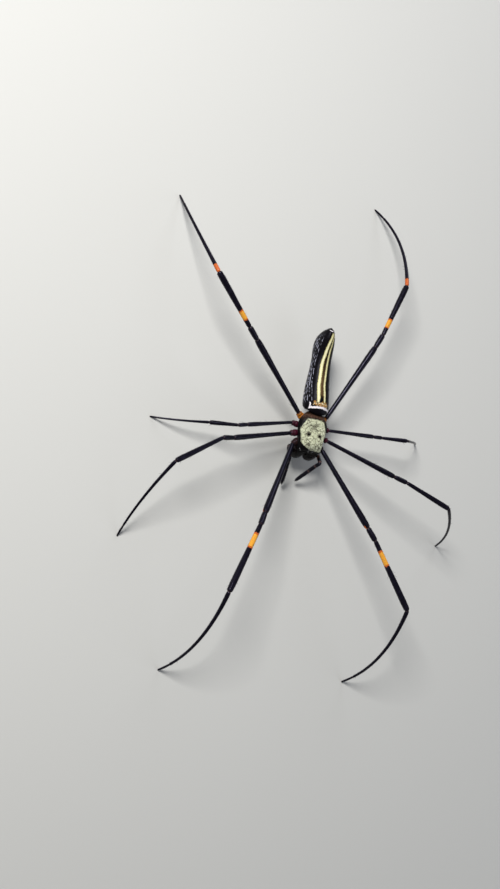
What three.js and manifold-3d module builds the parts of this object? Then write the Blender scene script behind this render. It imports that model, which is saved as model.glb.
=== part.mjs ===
// A female golden silk orb weaver, life size, standing on a flat floor with its legs spread.
// Millimetres, +Z up, the head towards -Y and the spider's own left side towards +X.
// The origin is on the floor, under the middle of the span of the legs.
import * as THREE from "three";
import { mergeVertices } from "three/addons/utils/BufferGeometryUtils.js";
import Module from "manifold-3d";

const wasm = await Module();
wasm.setup();

// Joints between plates: the clear width left between two faces that meet.
const JOINT_GAP = 0.3;
const EYE_GAP = 0.12;

// Where the middle of the front body stands over the floor, and how far the body is rolled about its
// length, with the back towards the spider's right side.
const FRONT_BODY = { x: -4.0, y: -0.7 };
const HIP_Z = 9.5;
const BODY_ROLL = 8;

// The carapace, from its middle: plan stations from the clypeus back to the rear edge.
const CARAPACE = {
  marginZ: 10.8,
  rimDrop: 0.5,
  archPower: 0.85,
  front: -7.4,
  rear: 6.1,
  // along, half width, height of the crown over the margin
  stations: [
    [-7.4, 3.3, 0.9],
    [-7.2, 3.75, 1.6],
    [-6.8, 4.05, 2.35],
    [-6.2, 4.15, 2.95],
    [-5.3, 4.2, 3.5],
    [-4.2, 4.3, 3.75],
    [-3.1, 4.4, 3.7],
    [-2.2, 4.55, 3.4],
    [-1.2, 4.85, 3.05],
    [-0.1, 5.05, 2.75],
    [1.1, 5.15, 2.75],
    [2.3, 5.0, 2.8],
    [3.4, 4.55, 2.6],
    [4.4, 3.85, 2.1],
    [5.3, 3.0, 1.45],
    [5.9, 2.1, 0.85],
    [6.1, 1.5, 0.45],
  ],
  sides: 28,
};
const HORNS = { apart: 3.8, along: -2.1, radius: 0.42, height: 0.85, tilt: 14, headHalfWidth: 4.6 };
const FOVEA = { along: 0.4, halfWidth: 1.3, length: 0.9, depth: 0.5 };
const CORE = { halfWidth: 2.05, halfLength: 4.5, bottomZ: 7.4, sides: 24 };

// The plate under the front body, heart shaped, with its lip in front.
const STERNUM = { halfWidth: 2.9, front: -4.0, rear: 4.6, bottomZ: 6.2, topZ: 7.1, bevel: 0.3 };
const LIP = { tipHalfWidth: 1.0, rootHalfWidth: 1.3, length: 1.1 };

// The jaws and their fangs, the feelers and the eyes.
const JAW = {
  rootX: 2.3,
  rootY: -5.9,
  rootZ: 11.2,
  tipX: 2.35,
  tipY: -8.0,
  tipZ: 3.7,
  halfWidth: 2.08,
  halfDepth: 1.75,
  bulge: 0.25,
  sides: 14,
  // share of the length, share of the half width and depth
  swell: [
    [0, 0.72],
    [0.12, 0.9],
    [0.35, 1.0],
    [0.6, 0.99],
    [0.8, 0.88],
    [0.92, 0.66],
    [1, 0.36],
  ],
};
// The fang's root, bend and tip, from the tip of its jaw, and the room round it in its hollow.
const FANG = {
  root: [0.55, 0.1, 0.75],
  bend: [0.35, 0.35, -0.5],
  tip: [-0.695, 1.5, -0.35],
  radius: 0.48,
  taper: 0.8,
  room: 0.2,
  socketRoom: 0.25,
};
const FEELER = {
  root: [2.0, -4.75, 6.35],
  bend: [4.9, -5.75, 6.1],
  belowElbow: [5.25, -8.05, 7.9],
  elbow: [5.35, -9.65, 9.15],
  tips: { right: [-4.1, -18.0, 2.6], left: [0.6, -16.0, 2.0] },
  radius: 0.62,
  sides: 10,
  // share of the length, share of the radius
  swell: [
    [0, 0.95],
    [0.08, 1.2],
    [0.16, 0.95],
    [0.3, 1.0],
    [0.45, 1.05],
    [0.6, 1.08],
    [0.85, 1.0],
    [0.96, 0.78],
    [1, 0.4],
  ],
};
const EYES = {
  radius: 0.3,
  // across, along and height over the carapace's margin, one side; the other side mirrors it
  places: {
    eye_front_middle: [0.62, -7.32, 1.35],
    eye_rear_middle: [0.72, -6.98, 2.02],
    eye_front_side: [3.15, -7.2, 0.85],
    eye_rear_side: [3.6, -6.78, 1.25],
  },
};

// The waist and the abdomen: stations from its front face back to its tip.
const WAIST = { radius: 0.75, z: 9.0, front: 3.6, rear: 8.4, rings: 5, sides: 10 };
const ABDOMEN = {
  front: 6.7,
  waistZ: 9.9,
  // how far the back reaches forward over the waist and the front lies to the spider's left side,
  // and how far back both fade out
  overhang: 2.1,
  aside: 0.5,
  overhangEnd: 10,
  // along from the front, half width, top, bottom
  stations: [
    [0.0, 3.4, 12.9, 9.1],
    [0.4, 4.1, 13.6, 8.0],
    [1.3, 4.35, 14.3, 6.9],
    [2.8, 4.3, 14.7, 6.1],
    [5.0, 4.15, 14.6, 5.8],
    [8.0, 3.9, 14.1, 5.9],
    [11.0, 3.6, 13.6, 6.2],
    [14.0, 3.35, 13.3, 6.4],
    [17.0, 3.2, 13.5, 6.3],
    [19.5, 3.25, 14.0, 5.9],
    [21.8, 3.15, 14.8, 6.2],
    [23.6, 2.8, 15.3, 7.3],
    [25.0, 2.2, 15.4, 8.9],
    [26.0, 1.45, 15.1, 10.7],
    [26.5, 0.7, 14.6, 12.4],
  ],
  sides: 22,
};
const SPINNERETS = {
  along: 21.6,
  z: 6.3,
  sides: 8,
  taper: 0.55,
  mound: { across: 0, start: 0.3, tipAcross: 0, tipAlong: 0.9, drop: 1.5, radius: 1.35 },
  // one side of each pair
  pairs: [
    { across: 0.62, start: -0.3, tipAcross: 0.4, tipAlong: 0.7, drop: 2.9, radius: 0.62 },
    { across: 0.6, start: 1.0, tipAcross: 0.42, tipAlong: 1.9, drop: 2.5, radius: 0.55 },
    { across: 0.3, start: 0.4, tipAcross: 0.22, tipAlong: 1.2, drop: 2.2, radius: 0.36 },
  ],
};

// The legs. Lengths of the segments of each pair, and the radii along them.
const LEG_SIDES = 10;
const FOOT_Z = -0.25;
const PAIRS = {
  1: { hip: [5.2, -5.4], coxa: [2.5, -3.3], femur: 29, patella: 4.8, tibia: 24.1, foot: 37.5, girth: 1 },
  2: { hip: [6.6, -2.2], coxa: [2.9, -1.15], femur: 25, patella: 4.6, tibia: 17, foot: 30, girth: 0.85 },
  3: { hip: [6.6, 1.3], coxa: [2.9, 1.05], femur: 17.5, patella: 3.5, tibia: 9, foot: 18.5, girth: 0.7 },
  4: { hip: [4.9, 4.9], coxa: [2.3, 3.2], femur: 29.5, patella: 5, tibia: 19.5, foot: 33.8, girth: 0.98 },
};
// Share of a segment's length, radius in millimetres on a leg of girth 1.
const COXA_RADII = [
  [0, 0.85],
  [0.25, 1.15],
  [0.55, 1.25],
  [0.7, 1.12],
  [0.76, 0.98],
  [0.86, 1.08],
  [1, 0.92],
];
const FEMUR_RADII = [
  [0, 0.72],
  [0.05, 0.78],
  [0.3, 0.82],
  [0.6, 0.94],
  [0.85, 1.08],
  [0.95, 1.06],
  [1, 0.85],
];
const PATELLA_RADII = [
  [0, 0.8],
  [0.15, 0.9],
  [0.6, 0.97],
  [0.88, 0.92],
  [1, 0.74],
];
const TIBIA_RADII = [
  [0, 0.72],
  [0.05, 0.78],
  [0.35, 0.86],
  [0.6, 0.99],
  [0.88, 1.05],
  [0.97, 0.95],
  [1, 0.76],
];
// The metatarsus up to TARSUS_FROM, and then the tarsus to the claws.
const TARSUS_FROM = 0.86;
const FOOT_RADII = [
  [0, 0.68],
  [0.03, 0.72],
  [0.2, 0.61],
  [0.4, 0.54],
  [0.6, 0.49],
  [0.8, 0.45],
  [0.85, 0.45],
  [0.87, 0.38],
  [0.93, 0.4],
  [0.98, 0.35],
  [1, 0.29],
];

// How each leg stands: the foot on the floor in the part's frame, how far the plane of the leg leans
// towards the head, how far the thigh and the knee segment rise over the line from hip to foot, and
// how far the foot segments bow up and swing aside, as a share of their length.
const RIGHT = -1;
const LEFT = 1;
const STANCE = {
  leg_1_right: {
    pair: 1,
    side: RIGHT,
    foot: [-38.6, -82.7],
    lean: 9,
    thigh: 27,
    knee: 30,
    bow: 0.066,
    swing: -0.064,
  },
  leg_1_left: {
    pair: 1,
    side: LEFT,
    foot: [28.7, -78.6],
    lean: -27,
    thigh: 30,
    knee: 29,
    bow: 0.094,
    swing: 0.009,
  },
  leg_2_right: {
    pair: 2,
    side: RIGHT,
    foot: [-59.4, -45.1],
    lean: 46,
    thigh: 33,
    knee: 38,
    bow: 0.05,
    swing: 0,
  },
  leg_2_left: {
    pair: 2,
    side: LEFT,
    foot: [59.7, -27.7],
    lean: -10,
    thigh: 29,
    knee: 34,
    bow: 0.075,
    swing: 0,
  },
  leg_3_right: {
    pair: 3,
    side: RIGHT,
    foot: [-55.8, -7.1],
    lean: -19,
    thigh: 18,
    knee: 19,
    bow: 0.06,
    swing: 0,
  },
  leg_3_left: {
    pair: 3,
    side: LEFT,
    foot: [44.8, 5.9],
    lean: 5,
    thigh: 15,
    knee: 11,
    bow: 0.06,
    swing: 0,
  },
  leg_4_right: {
    pair: 4,
    side: RIGHT,
    foot: [-58.7, 64.1],
    lean: -32,
    thigh: 24,
    knee: 28,
    bow: 0.06,
    swing: 0,
  },
  leg_4_left: {
    pair: 4,
    side: LEFT,
    foot: [13.9, 82.7],
    lean: 42,
    thigh: 22,
    knee: 19,
    bow: 0.1,
    swing: 0.026,
  },
};

// Colours of the finishes.
const FINISH = {
  carapace: { color: 0xc9ccb0, roughness: 0.9 },
  shell: { color: 0x14121a, roughness: 0.35 },
  leg: { color: 0x17151d, roughness: 0.4 },
  coxa: { color: 0x4a1c12, roughness: 0.5 },
  abdomen: { color: 0x1b1822, roughness: 0.45 },
  eye: { color: 0x050506, roughness: 0.08 },
};

const root = new THREE.Group();

// Small helpers for points and closed surfaces.
const point = (x, y, z) => new THREE.Vector3(x, y, z);
const degrees = THREE.MathUtils.degToRad;
const ROLL_TURN = new THREE.Matrix4().makeRotationY(-degrees(BODY_ROLL));
const BODY_PLACE = new THREE.Matrix4()
  .makeTranslation(FRONT_BODY.x, FRONT_BODY.y, HIP_Z)
  .multiply(ROLL_TURN)
  .multiply(new THREE.Matrix4().makeTranslation(0, 0, -HIP_Z));

// A point of the body, given from the floor under the middle of the front body, once it is rolled.
const overBody = (x, y, z) => point(x, y, z).applyMatrix4(BODY_PLACE);

// The radius at a share t of the length, between the listed shares.
function radiusAt(radii, t) {
  const next = radii.findIndex(([share]) => share >= t);
  if (next <= 0) return radii[0][1];
  const [t0, r0] = radii[next - 1];
  const [t1, r1] = radii[next];
  return THREE.MathUtils.lerp(r0, r1, (t - t0) / (t1 - t0));
}

// A closed surface through rings of points, all with the same number, capped at both ends.
function loft(rings) {
  const sides = rings[0].length;
  const middle = (ring) => ring.reduce((sum, p) => sum.add(p), point(0, 0, 0)).divideScalar(sides);
  const points = [...rings.flat(), middle(rings[0]), middle(rings[rings.length - 1])];
  const faces = [];
  const firstMiddle = points.length - 2;
  const lastMiddle = points.length - 1;
  const lastRing = (rings.length - 1) * sides;
  for (let i = 0; i < sides; i++) {
    const j = (i + 1) % sides;
    faces.push(firstMiddle, j, i);
    faces.push(lastMiddle, lastRing + i, lastRing + j);
    for (let k = 0; k + 1 < rings.length; k++) {
      const low = k * sides;
      const high = low + sides;
      faces.push(low + i, low + j, high + j, low + i, high + j, high + i);
    }
  }
  const geometry = new THREE.BufferGeometry().setFromPoints(points);
  geometry.setIndex(faces);
  return geometry;
}

// A solid for cutting and joining, with its faces pointing out.
function solidOf(geometry) {
  const bare = geometry.index ? geometry.toNonIndexed() : geometry.clone();
  bare.deleteAttribute("normal");
  bare.deleteAttribute("uv");
  const merged = mergeVertices(bare, 1e-4);
  const triVerts = new Uint32Array(merged.index.array);
  const vertProperties = merged.attributes.position.array;
  const make = () => new wasm.Manifold(new wasm.Mesh({ numProp: 3, vertProperties, triVerts }));
  const solid = make();
  if (solid.volume() > 0) return solid;
  for (let i = 0; i < triVerts.length; i += 3) {
    [triVerts[i], triVerts[i + 1]] = [triVerts[i + 1], triVerts[i]];
  }
  return make();
}

// The largest closed body of a solid, back as a geometry.
function geometryOf(solid) {
  const [largest] = solid.decompose().sort((a, b) => b.volume() - a.volume());
  const mesh = largest.getMesh();
  const geometry = new THREE.BufferGeometry();
  const positions = new Float32Array(mesh.numVert * 3);
  for (let i = 0; i < mesh.numVert; i++) {
    positions.set(mesh.vertProperties.subarray(i * mesh.numProp, i * mesh.numProp + 3), i * 3);
  }
  geometry.setAttribute("position", new THREE.BufferAttribute(positions, 3));
  geometry.setIndex(new THREE.BufferAttribute(new Uint32Array(mesh.triVerts), 1));
  return geometry;
}

function add(name, solid, finish) {
  const geometry = geometryOf(solid);
  geometry.computeVertexNormals();
  const mesh = new THREE.Mesh(geometry, new THREE.MeshStandardMaterial(finish));
  mesh.name = name;
  root.add(mesh);
}

// A ring of points round a centre, in the plane across `along`, starting towards `up`.
function ring(centre, along, up, halfAcross, halfUp, sides) {
  const across = along.clone().cross(up).normalize();
  const upright = across.clone().cross(along).normalize();
  return Array.from({ length: sides }, (_, i) => {
    const angle = (i / sides) * 2 * Math.PI;
    return centre
      .clone()
      .addScaledVector(across, Math.sin(angle) * halfAcross)
      .addScaledVector(upright, Math.cos(angle) * halfUp);
  });
}

// The ring slid along the tube's own direction until it lies in a plane through `at`.
function slideOnto(points, along, at, normal) {
  const run = along.dot(normal);
  return points.map((p) => p.clone().addScaledVector(along, at.clone().sub(p).dot(normal) / run));
}

// A tube along a line of points, with its ends cut in the planes halfway through its bends.
function tube(path, radiusOf, sides, up, startNormal, endNormal, gap = JOINT_GAP) {
  const lengths = [0];
  for (let i = 1; i < path.length; i++) lengths.push(lengths[i - 1] + path[i].distanceTo(path[i - 1]));
  const total = lengths[path.length - 1];
  const rings = path.map((centre, i) => {
    const before = path[Math.max(i - 1, 0)];
    const after = path[Math.min(i + 1, path.length - 1)];
    const along = after.clone().sub(before).normalize();
    const radius = radiusOf(lengths[i] / total);
    const made = ring(centre, along, up, radius, radius, sides);
    if (i === 0 && startNormal) {
      return slideOnto(made, along, centre.clone().addScaledVector(startNormal, gap / 2), startNormal);
    }
    if (i === path.length - 1 && endNormal) {
      return slideOnto(made, along, centre.clone().addScaledVector(endNormal, -gap / 2), endNormal);
    }
    return made;
  });
  return loft(rings);
}

// Carapace: one arched plate over the front body, with its filled underside between the leg roots.
function carapaceSurface(grow) {
  const { marginZ, rimDrop, archPower, stations, sides, front, rear } = CARAPACE;
  return loft(
    stations.map(([along, halfWidth, crown]) => {
      const stretch = along === front ? -grow : along === rear ? grow : 0;
      return Array.from({ length: sides }, (_, i) => {
        const angle = (i / sides) * 2 * Math.PI;
        const across = Math.cos(angle) * (halfWidth + grow);
        const lift = Math.sin(angle);
        const pit = fovea(across, along);
        const arch = (crown + grow) * Math.max(0, lift) ** archPower;
        const z = lift > 0 ? arch - pit * lift : (rimDrop + grow) * lift;
        return overBody(across, along + stretch, marginZ + z);
      });
    }),
  );
}

// The depth of the pit in the middle of the thorax.
function fovea(across, along) {
  const u = across / FOVEA.halfWidth;
  const v = (along - FOVEA.along) / FOVEA.length;
  return FOVEA.depth * Math.exp(-(u * u) - v * v);
}

function carapaceCore(grow) {
  const outline = new THREE.Shape();
  outline.absellipse(0, 0, CORE.halfWidth + grow, CORE.halfLength + grow, 0, 2 * Math.PI);
  const depth = CARAPACE.marginZ + 0.4 - CORE.bottomZ + grow;
  const geometry = new THREE.ExtrudeGeometry(outline, {
    depth,
    bevelEnabled: false,
    curveSegments: CORE.sides,
  });
  return geometry.translate(0, 0, CORE.bottomZ - grow).applyMatrix4(BODY_PLACE);
}

const crownAt = (along) => {
  const { stations } = CARAPACE;
  return radiusAt(
    stations.map(([y, , crown]) => [y, crown]),
    along,
  );
};

function horn(side) {
  const { apart, along, radius, height, tilt, headHalfWidth } = HORNS;
  const cone = new THREE.ConeGeometry(radius, height * 2, 10);
  cone.rotateX(Math.PI / 2);
  cone.rotateY(degrees(side * tilt));
  const lift = Math.sqrt(1 - (apart / 2 / headHalfWidth) ** 2);
  const footZ = CARAPACE.marginZ + crownAt(along) * lift ** CARAPACE.archPower;
  return cone.translate((side * apart) / 2, along, footZ).applyMatrix4(BODY_PLACE);
}

function eyeBall(place, side, grow) {
  const [across, along, height] = place;
  const ball = new THREE.SphereGeometry(EYES.radius + grow, 10, 8);
  const centre = overBody(side * across, along, CARAPACE.marginZ + height);
  return ball.translate(centre.x, centre.y, centre.z);
}

const eyes = Object.entries(EYES.places).flatMap(([name, place]) => [
  { name: name + "_right", place, side: RIGHT },
  { name: name + "_left", place, side: LEFT },
]);

const frontBody = (grow) => solidOf(carapaceSurface(grow)).add(solidOf(carapaceCore(grow)));
const frontBodyCut = frontBody(JOINT_GAP);

let carapace = frontBody(0);
for (const side of [RIGHT, LEFT]) carapace = carapace.add(solidOf(horn(side)));
for (const { place, side } of eyes) carapace = carapace.subtract(solidOf(eyeBall(place, side, EYE_GAP)));
add("carapace", carapace, FINISH.carapace);
for (const { name, place, side } of eyes) add(name, solidOf(eyeBall(place, side, 0)), FINISH.eye);

// Sternum: the heart-shaped plate under the leg roots, with the lip in front of it.
function sternumOutline() {
  const { halfWidth, front, rear } = STERNUM;
  const { tipHalfWidth, rootHalfWidth, length } = LIP;
  const shoulder = front + 0.4;
  const widest = front + 2.8;
  const waistAt = rear - 2.2;
  const outline = new THREE.Shape();
  outline.moveTo(-tipHalfWidth, front - length);
  outline.lineTo(tipHalfWidth, front - length);
  outline.lineTo(rootHalfWidth, front);
  outline.quadraticCurveTo(halfWidth, shoulder, halfWidth, widest);
  outline.quadraticCurveTo(halfWidth * 0.9, waistAt, 0, rear);
  outline.quadraticCurveTo(-halfWidth * 0.9, waistAt, -halfWidth, widest);
  outline.quadraticCurveTo(-halfWidth, shoulder, -rootHalfWidth, front);
  outline.closePath();
  return outline;
}

function sternum() {
  const { bottomZ, topZ, bevel } = STERNUM;
  const geometry = new THREE.ExtrudeGeometry(sternumOutline(), {
    depth: topZ - bottomZ - 2 * bevel,
    bevelThickness: bevel,
    bevelSize: bevel,
    bevelOffset: -bevel,
    bevelSegments: 2,
    curveSegments: 6,
  });
  return solidOf(geometry.translate(0, 0, bottomZ + bevel).applyMatrix4(BODY_PLACE));
}
add("sternum", sternum(), FINISH.shell);

// Jaws: two stout ovals hanging under the front of the carapace, each with a fang folded under it.
function jaw(side, grow) {
  const { rootX, rootY, rootZ, tipX, tipY, tipZ, halfWidth, halfDepth, bulge, sides, swell } = JAW;
  const from = overBody(side * rootX, rootY, rootZ);
  const to = overBody(side * tipX, tipY, tipZ);
  const along = to.clone().sub(from).normalize();
  const rings = swell.map(([t, size]) => {
    const centre = from.clone().lerp(to, t);
    centre.y -= Math.sin(t * Math.PI) * bulge;
    return ring(centre, along, point(0, -1, 0), halfWidth * size + grow, halfDepth * size + grow, sides);
  });
  return solidOf(loft(rings));
}

const fromJawTip = (side, [x, y, z]) => overBody(side * (JAW.tipX + x), JAW.tipY + y, JAW.tipZ + z);

function fang(side, grow) {
  const { root: start, bend, tip, radius, taper } = FANG;
  const curve = new THREE.QuadraticBezierCurve3(
    fromJawTip(side, start),
    fromJawTip(side, bend),
    fromJawTip(side, tip),
  );
  return solidOf(tube(curve.getPoints(7), (t) => radius * (1 - taper * t) + grow, 8, point(0, -1, 0)));
}

// The hollow that a fang stands in.
function socket(side) {
  const ball = new THREE.SphereGeometry(FANG.radius + FANG.socketRoom, 12, 8);
  const centre = fromJawTip(side, FANG.root);
  return solidOf(ball.translate(centre.x, centre.y, centre.z)).add(fang(side, FANG.room));
}

for (const [side, name] of [
  [RIGHT, "right"],
  [LEFT, "left"],
]) {
  add("jaw_" + name, jaw(side, 0).subtract(frontBodyCut).subtract(socket(side)), FINISH.shell);
  add("fang_" + name, fang(side, 0), FINISH.shell);
}

// Feelers: the short leg-like limbs beside the jaws, bent at the elbow and reaching down in front.
function feeler(side, tip) {
  const { root: start, bend, belowElbow, elbow, radius, sides, swell } = FEELER;
  const placed = ([x, y, z]) => overBody(side * x, y, z);
  const pastElbow = placed(elbow).lerp(overBody(...tip), 0.2);
  const path = new THREE.CatmullRomCurve3([
    placed(start),
    placed(bend),
    placed(belowElbow),
    placed(elbow),
    pastElbow,
    overBody(...tip),
  ]);
  return solidOf(tube(path.getPoints(22), (t) => radius * radiusAt(swell, t), sides, point(0, 0, 1)));
}
add("feeler_right", feeler(RIGHT, FEELER.tips.right).subtract(jaw(RIGHT, JOINT_GAP)), FINISH.leg);
add("feeler_left", feeler(LEFT, FEELER.tips.left).subtract(jaw(LEFT, JOINT_GAP)), FINISH.leg);

// Abdomen: a long cylinder with blunt shoulders, a slight waist and an oblique end.
function abdomenSurface(grow) {
  const { front, waistZ, overhang, aside, overhangEnd, stations, sides } = ABDOMEN;
  return loft(
    stations.map(([along, halfWidth, top, bottom], index) => {
      const stretch = index === 0 ? -grow : index === stations.length - 1 ? grow : 0;
      const middleZ = Math.min(Math.max(waistZ, bottom + 0.3 * (top - bottom)), top);
      const fade = Math.max(0, 1 - along / overhangEnd) ** 2;
      return Array.from({ length: sides }, (_, i) => {
        const angle = (i / sides) * 2 * Math.PI;
        const lift = Math.sin(angle);
        const rise = lift > 0 ? top - middleZ : middleZ - bottom;
        return overBody(
          Math.cos(angle) * (halfWidth + grow) + aside * fade,
          front + along + stretch - overhang * fade * Math.max(0, lift) ** 0.6,
          middleZ + lift * (rise + grow),
        );
      });
    }),
  );
}

function waist() {
  const { radius, z, front, rear, rings, sides } = WAIST;
  const pitch = (rear - front) / (rings - 1);
  const path = Array.from({ length: rings }, (_, i) => overBody(0, front + pitch * i, z));
  return solidOf(tube(path, () => radius, sides, point(0, 0, 1)));
}

// Spinnerets: a low mound under the abdomen, with two front, two rear and two small middle cones.
function spinnerets() {
  const { along, z, sides, taper, mound, pairs } = SPINNERETS;
  const y = ABDOMEN.front + along;
  const cone = (side, { across, start, tipAcross, tipAlong, drop, radius }) => {
    const from = overBody(side * across, y + start, z);
    const to = overBody(side * tipAcross, y + tipAlong, z - drop);
    const path = [0, 0.5, 1].map((t) => from.clone().lerp(to, t));
    return solidOf(tube(path, (t) => radius * (1 - taper * t), sides, point(0, 1, 0)));
  };
  let cluster = cone(RIGHT, mound);
  for (const side of [RIGHT, LEFT]) for (const pair of pairs) cluster = cluster.add(cone(side, pair));
  return cluster;
}

const abdomenCut = solidOf(abdomenSurface(JOINT_GAP));
add("abdomen", solidOf(abdomenSurface(0)).subtract(frontBodyCut), FINISH.abdomen);
add("waist", waist().subtract(frontBodyCut).subtract(abdomenCut), FINISH.coxa);
add("spinnerets", spinnerets().subtract(abdomenCut), FINISH.shell);

// Legs. Each leg lies in one plane through its hip and its foot, which leans from upright.
function jointsOf({ pair, side, foot, lean, thigh, knee, bow, swing }) {
  const size = PAIRS[pair];
  const hip = overBody(side * size.hip[0], size.hip[1], HIP_Z);
  const end = point(foot[0], foot[1], FOOT_Z);
  const reach = end.clone().sub(hip).normalize();
  const upright = point(0, 0, 1).addScaledVector(reach, -reach.z).normalize();
  const sideways = reach.clone().cross(upright);
  const rise = upright
    .clone()
    .multiplyScalar(Math.cos(degrees(lean)))
    .addScaledVector(sideways, Math.sin(degrees(lean)));
  const heading = (angle) =>
    reach.clone().multiplyScalar(Math.cos(angle)).addScaledVector(rise, Math.sin(angle));
  const kneeAt = hip.clone().addScaledVector(heading(degrees(thigh)), size.femur);
  const shinAt = kneeAt.clone().addScaledVector(heading(degrees(knee)), size.patella);
  // the last two lengths close the triangle between the knee and the foot
  const rest = end.clone().sub(shinAt);
  const restLength = rest.length();
  const inner = (size.tibia ** 2 + restLength ** 2 - size.foot ** 2) / (2 * size.tibia * restLength);
  const shinAngle = Math.atan2(rest.dot(rise), rest.dot(reach)) + Math.acos(Math.min(1, inner));
  const ankleAt = shinAt.clone().addScaledVector(heading(shinAngle), size.tibia);
  const last = end.clone().sub(ankleAt);
  const outward = rise.clone().addScaledVector(last, -rise.dot(last) / last.lengthSq()).normalize();
  const bend = ankleAt
    .clone()
    .lerp(end, 0.55)
    .addScaledVector(outward, 2 * bow * last.length())
    .addScaledVector(reach.clone().cross(rise), 2 * swing * last.length());
  return { hip, kneeAt, shinAt, ankleAt, end, bend };
}

const halfway = (before, at, after) =>
  at.clone().sub(before).normalize().add(after.clone().sub(at).normalize()).normalize();

// A straight segment of a leg between two joints, with its ends cut to meet its neighbours.
function segment(from, to, radii, girth, startNormal, endNormal) {
  const path = radii.map(([share]) => from.clone().lerp(to, share));
  const radiusOf = (t) => girth * radiusAt(radii, t);
  return solidOf(tube(path, radiusOf, LEG_SIDES, point(0, 0, 1), startNormal, endNormal));
}

function footSegment(ankleAt, bend, end, girth, startNormal) {
  const curve = new THREE.QuadraticBezierCurve3(ankleAt, bend, end);
  const path = FOOT_RADII.map(([share]) => curve.getPointAt(share));
  const radiusOf = (t) => (t < TARSUS_FROM ? girth : (girth + 1) / 2) * radiusAt(FOOT_RADII, t);
  return solidOf(tube(path, radiusOf, LEG_SIDES, point(0, 0, 1), startNormal, null));
}

// The floor, as a block that trims the feet to small flats.
const floor = solidOf(new THREE.BoxGeometry(400, 400, 20).translate(0, 0, -10));

for (const [name, stance] of Object.entries(STANCE)) {
  const size = PAIRS[stance.pair];
  const { hip, kneeAt, shinAt, ankleAt, end, bend } = jointsOf(stance);
  const inner = overBody(stance.side * size.coxa[0], size.coxa[1], HIP_Z - 1.0);
  const coxaGirth = (size.girth + 1) / 2;
  const hipCut = halfway(inner, hip, kneeAt);
  const kneeCut = halfway(hip, kneeAt, shinAt);
  const shinCut = halfway(kneeAt, shinAt, ankleAt);
  const ankleCut = halfway(shinAt, ankleAt, bend);
  const coxa = segment(inner, hip, COXA_RADII, coxaGirth, null, hipCut);
  const jawRoom = jaw(stance.side, JOINT_GAP);
  add(name + "_coxa", coxa.subtract(frontBodyCut).subtract(jawRoom), FINISH.coxa);
  add(name + "_femur", segment(hip, kneeAt, FEMUR_RADII, size.girth, hipCut, kneeCut), FINISH.leg);
  add(name + "_patella", segment(kneeAt, shinAt, PATELLA_RADII, size.girth, kneeCut, shinCut), FINISH.leg);
  add(name + "_tibia", segment(shinAt, ankleAt, TIBIA_RADII, size.girth, shinCut, ankleCut), FINISH.leg);
  add(name + "_foot", footSegment(ankleAt, bend, end, size.girth, ankleCut).subtract(floor), FINISH.leg);
}

export default root;
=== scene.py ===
import math

import bpy
import numpy as np
from mathutils import Matrix, Vector


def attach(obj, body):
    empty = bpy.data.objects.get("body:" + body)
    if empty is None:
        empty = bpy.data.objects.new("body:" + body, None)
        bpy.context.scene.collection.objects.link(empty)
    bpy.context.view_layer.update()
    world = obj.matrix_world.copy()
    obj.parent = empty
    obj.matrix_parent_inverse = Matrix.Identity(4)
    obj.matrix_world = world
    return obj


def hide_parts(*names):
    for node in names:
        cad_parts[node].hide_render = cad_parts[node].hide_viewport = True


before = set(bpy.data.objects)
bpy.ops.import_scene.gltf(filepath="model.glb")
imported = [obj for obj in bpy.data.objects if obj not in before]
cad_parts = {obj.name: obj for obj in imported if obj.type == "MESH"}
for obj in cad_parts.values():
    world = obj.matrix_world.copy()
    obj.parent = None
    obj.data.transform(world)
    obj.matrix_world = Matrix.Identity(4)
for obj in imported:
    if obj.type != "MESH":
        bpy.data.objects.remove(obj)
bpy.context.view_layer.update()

# The view is from over the spider's back, leaning to its right side and turned, as in the photo.
# A pale matt floor lies under it, and three broad soft lamps stand in a pale room.
MM = 0.001
FRONT_BODY = Vector((-4.0, -0.7, 0.0))
CAMERA_DISTANCE = 368.0
CAMERA_LEAN, CAMERA_PITCH, CAMERA_TURN = math.radians(29), math.radians(4), math.radians(10.5)
PHOTO_WIDTH, PHOTO_HEIGHT = 500, 889
FOCAL_PIXELS = 1150.0
BODY_PIXEL = (314, 430)
BODY_AIM_HEIGHT = 12.0
SENSOR = 36.0
NEAREST_SEEN = 0.01
# place and diameter in metres, power, colour
LAMPS = {
    "key": ((-0.34, 0.22, 0.42), 0.2, 4.3, (1.0, 0.985, 0.96)),
    "fill": ((0.45, -0.2, 0.35), 0.5, 0.8, (0.86, 0.9, 1.0)),
    "rim": ((0.1, 0.55, 0.3), 0.3, 1.0, (0.9, 0.92, 1.0)),
}
ROOM_COLOUR, ROOM_STRENGTH = (0.80, 0.84, 0.90, 1.0), 0.16
FLOOR_HALF, FLOOR_COLOUR, FLOOR_ROUGHNESS = 1.5, (0.52, 0.52, 0.50, 1.0), 0.9


def link_up(piece):
    bpy.context.scene.collection.objects.link(piece)
    return piece


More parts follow.
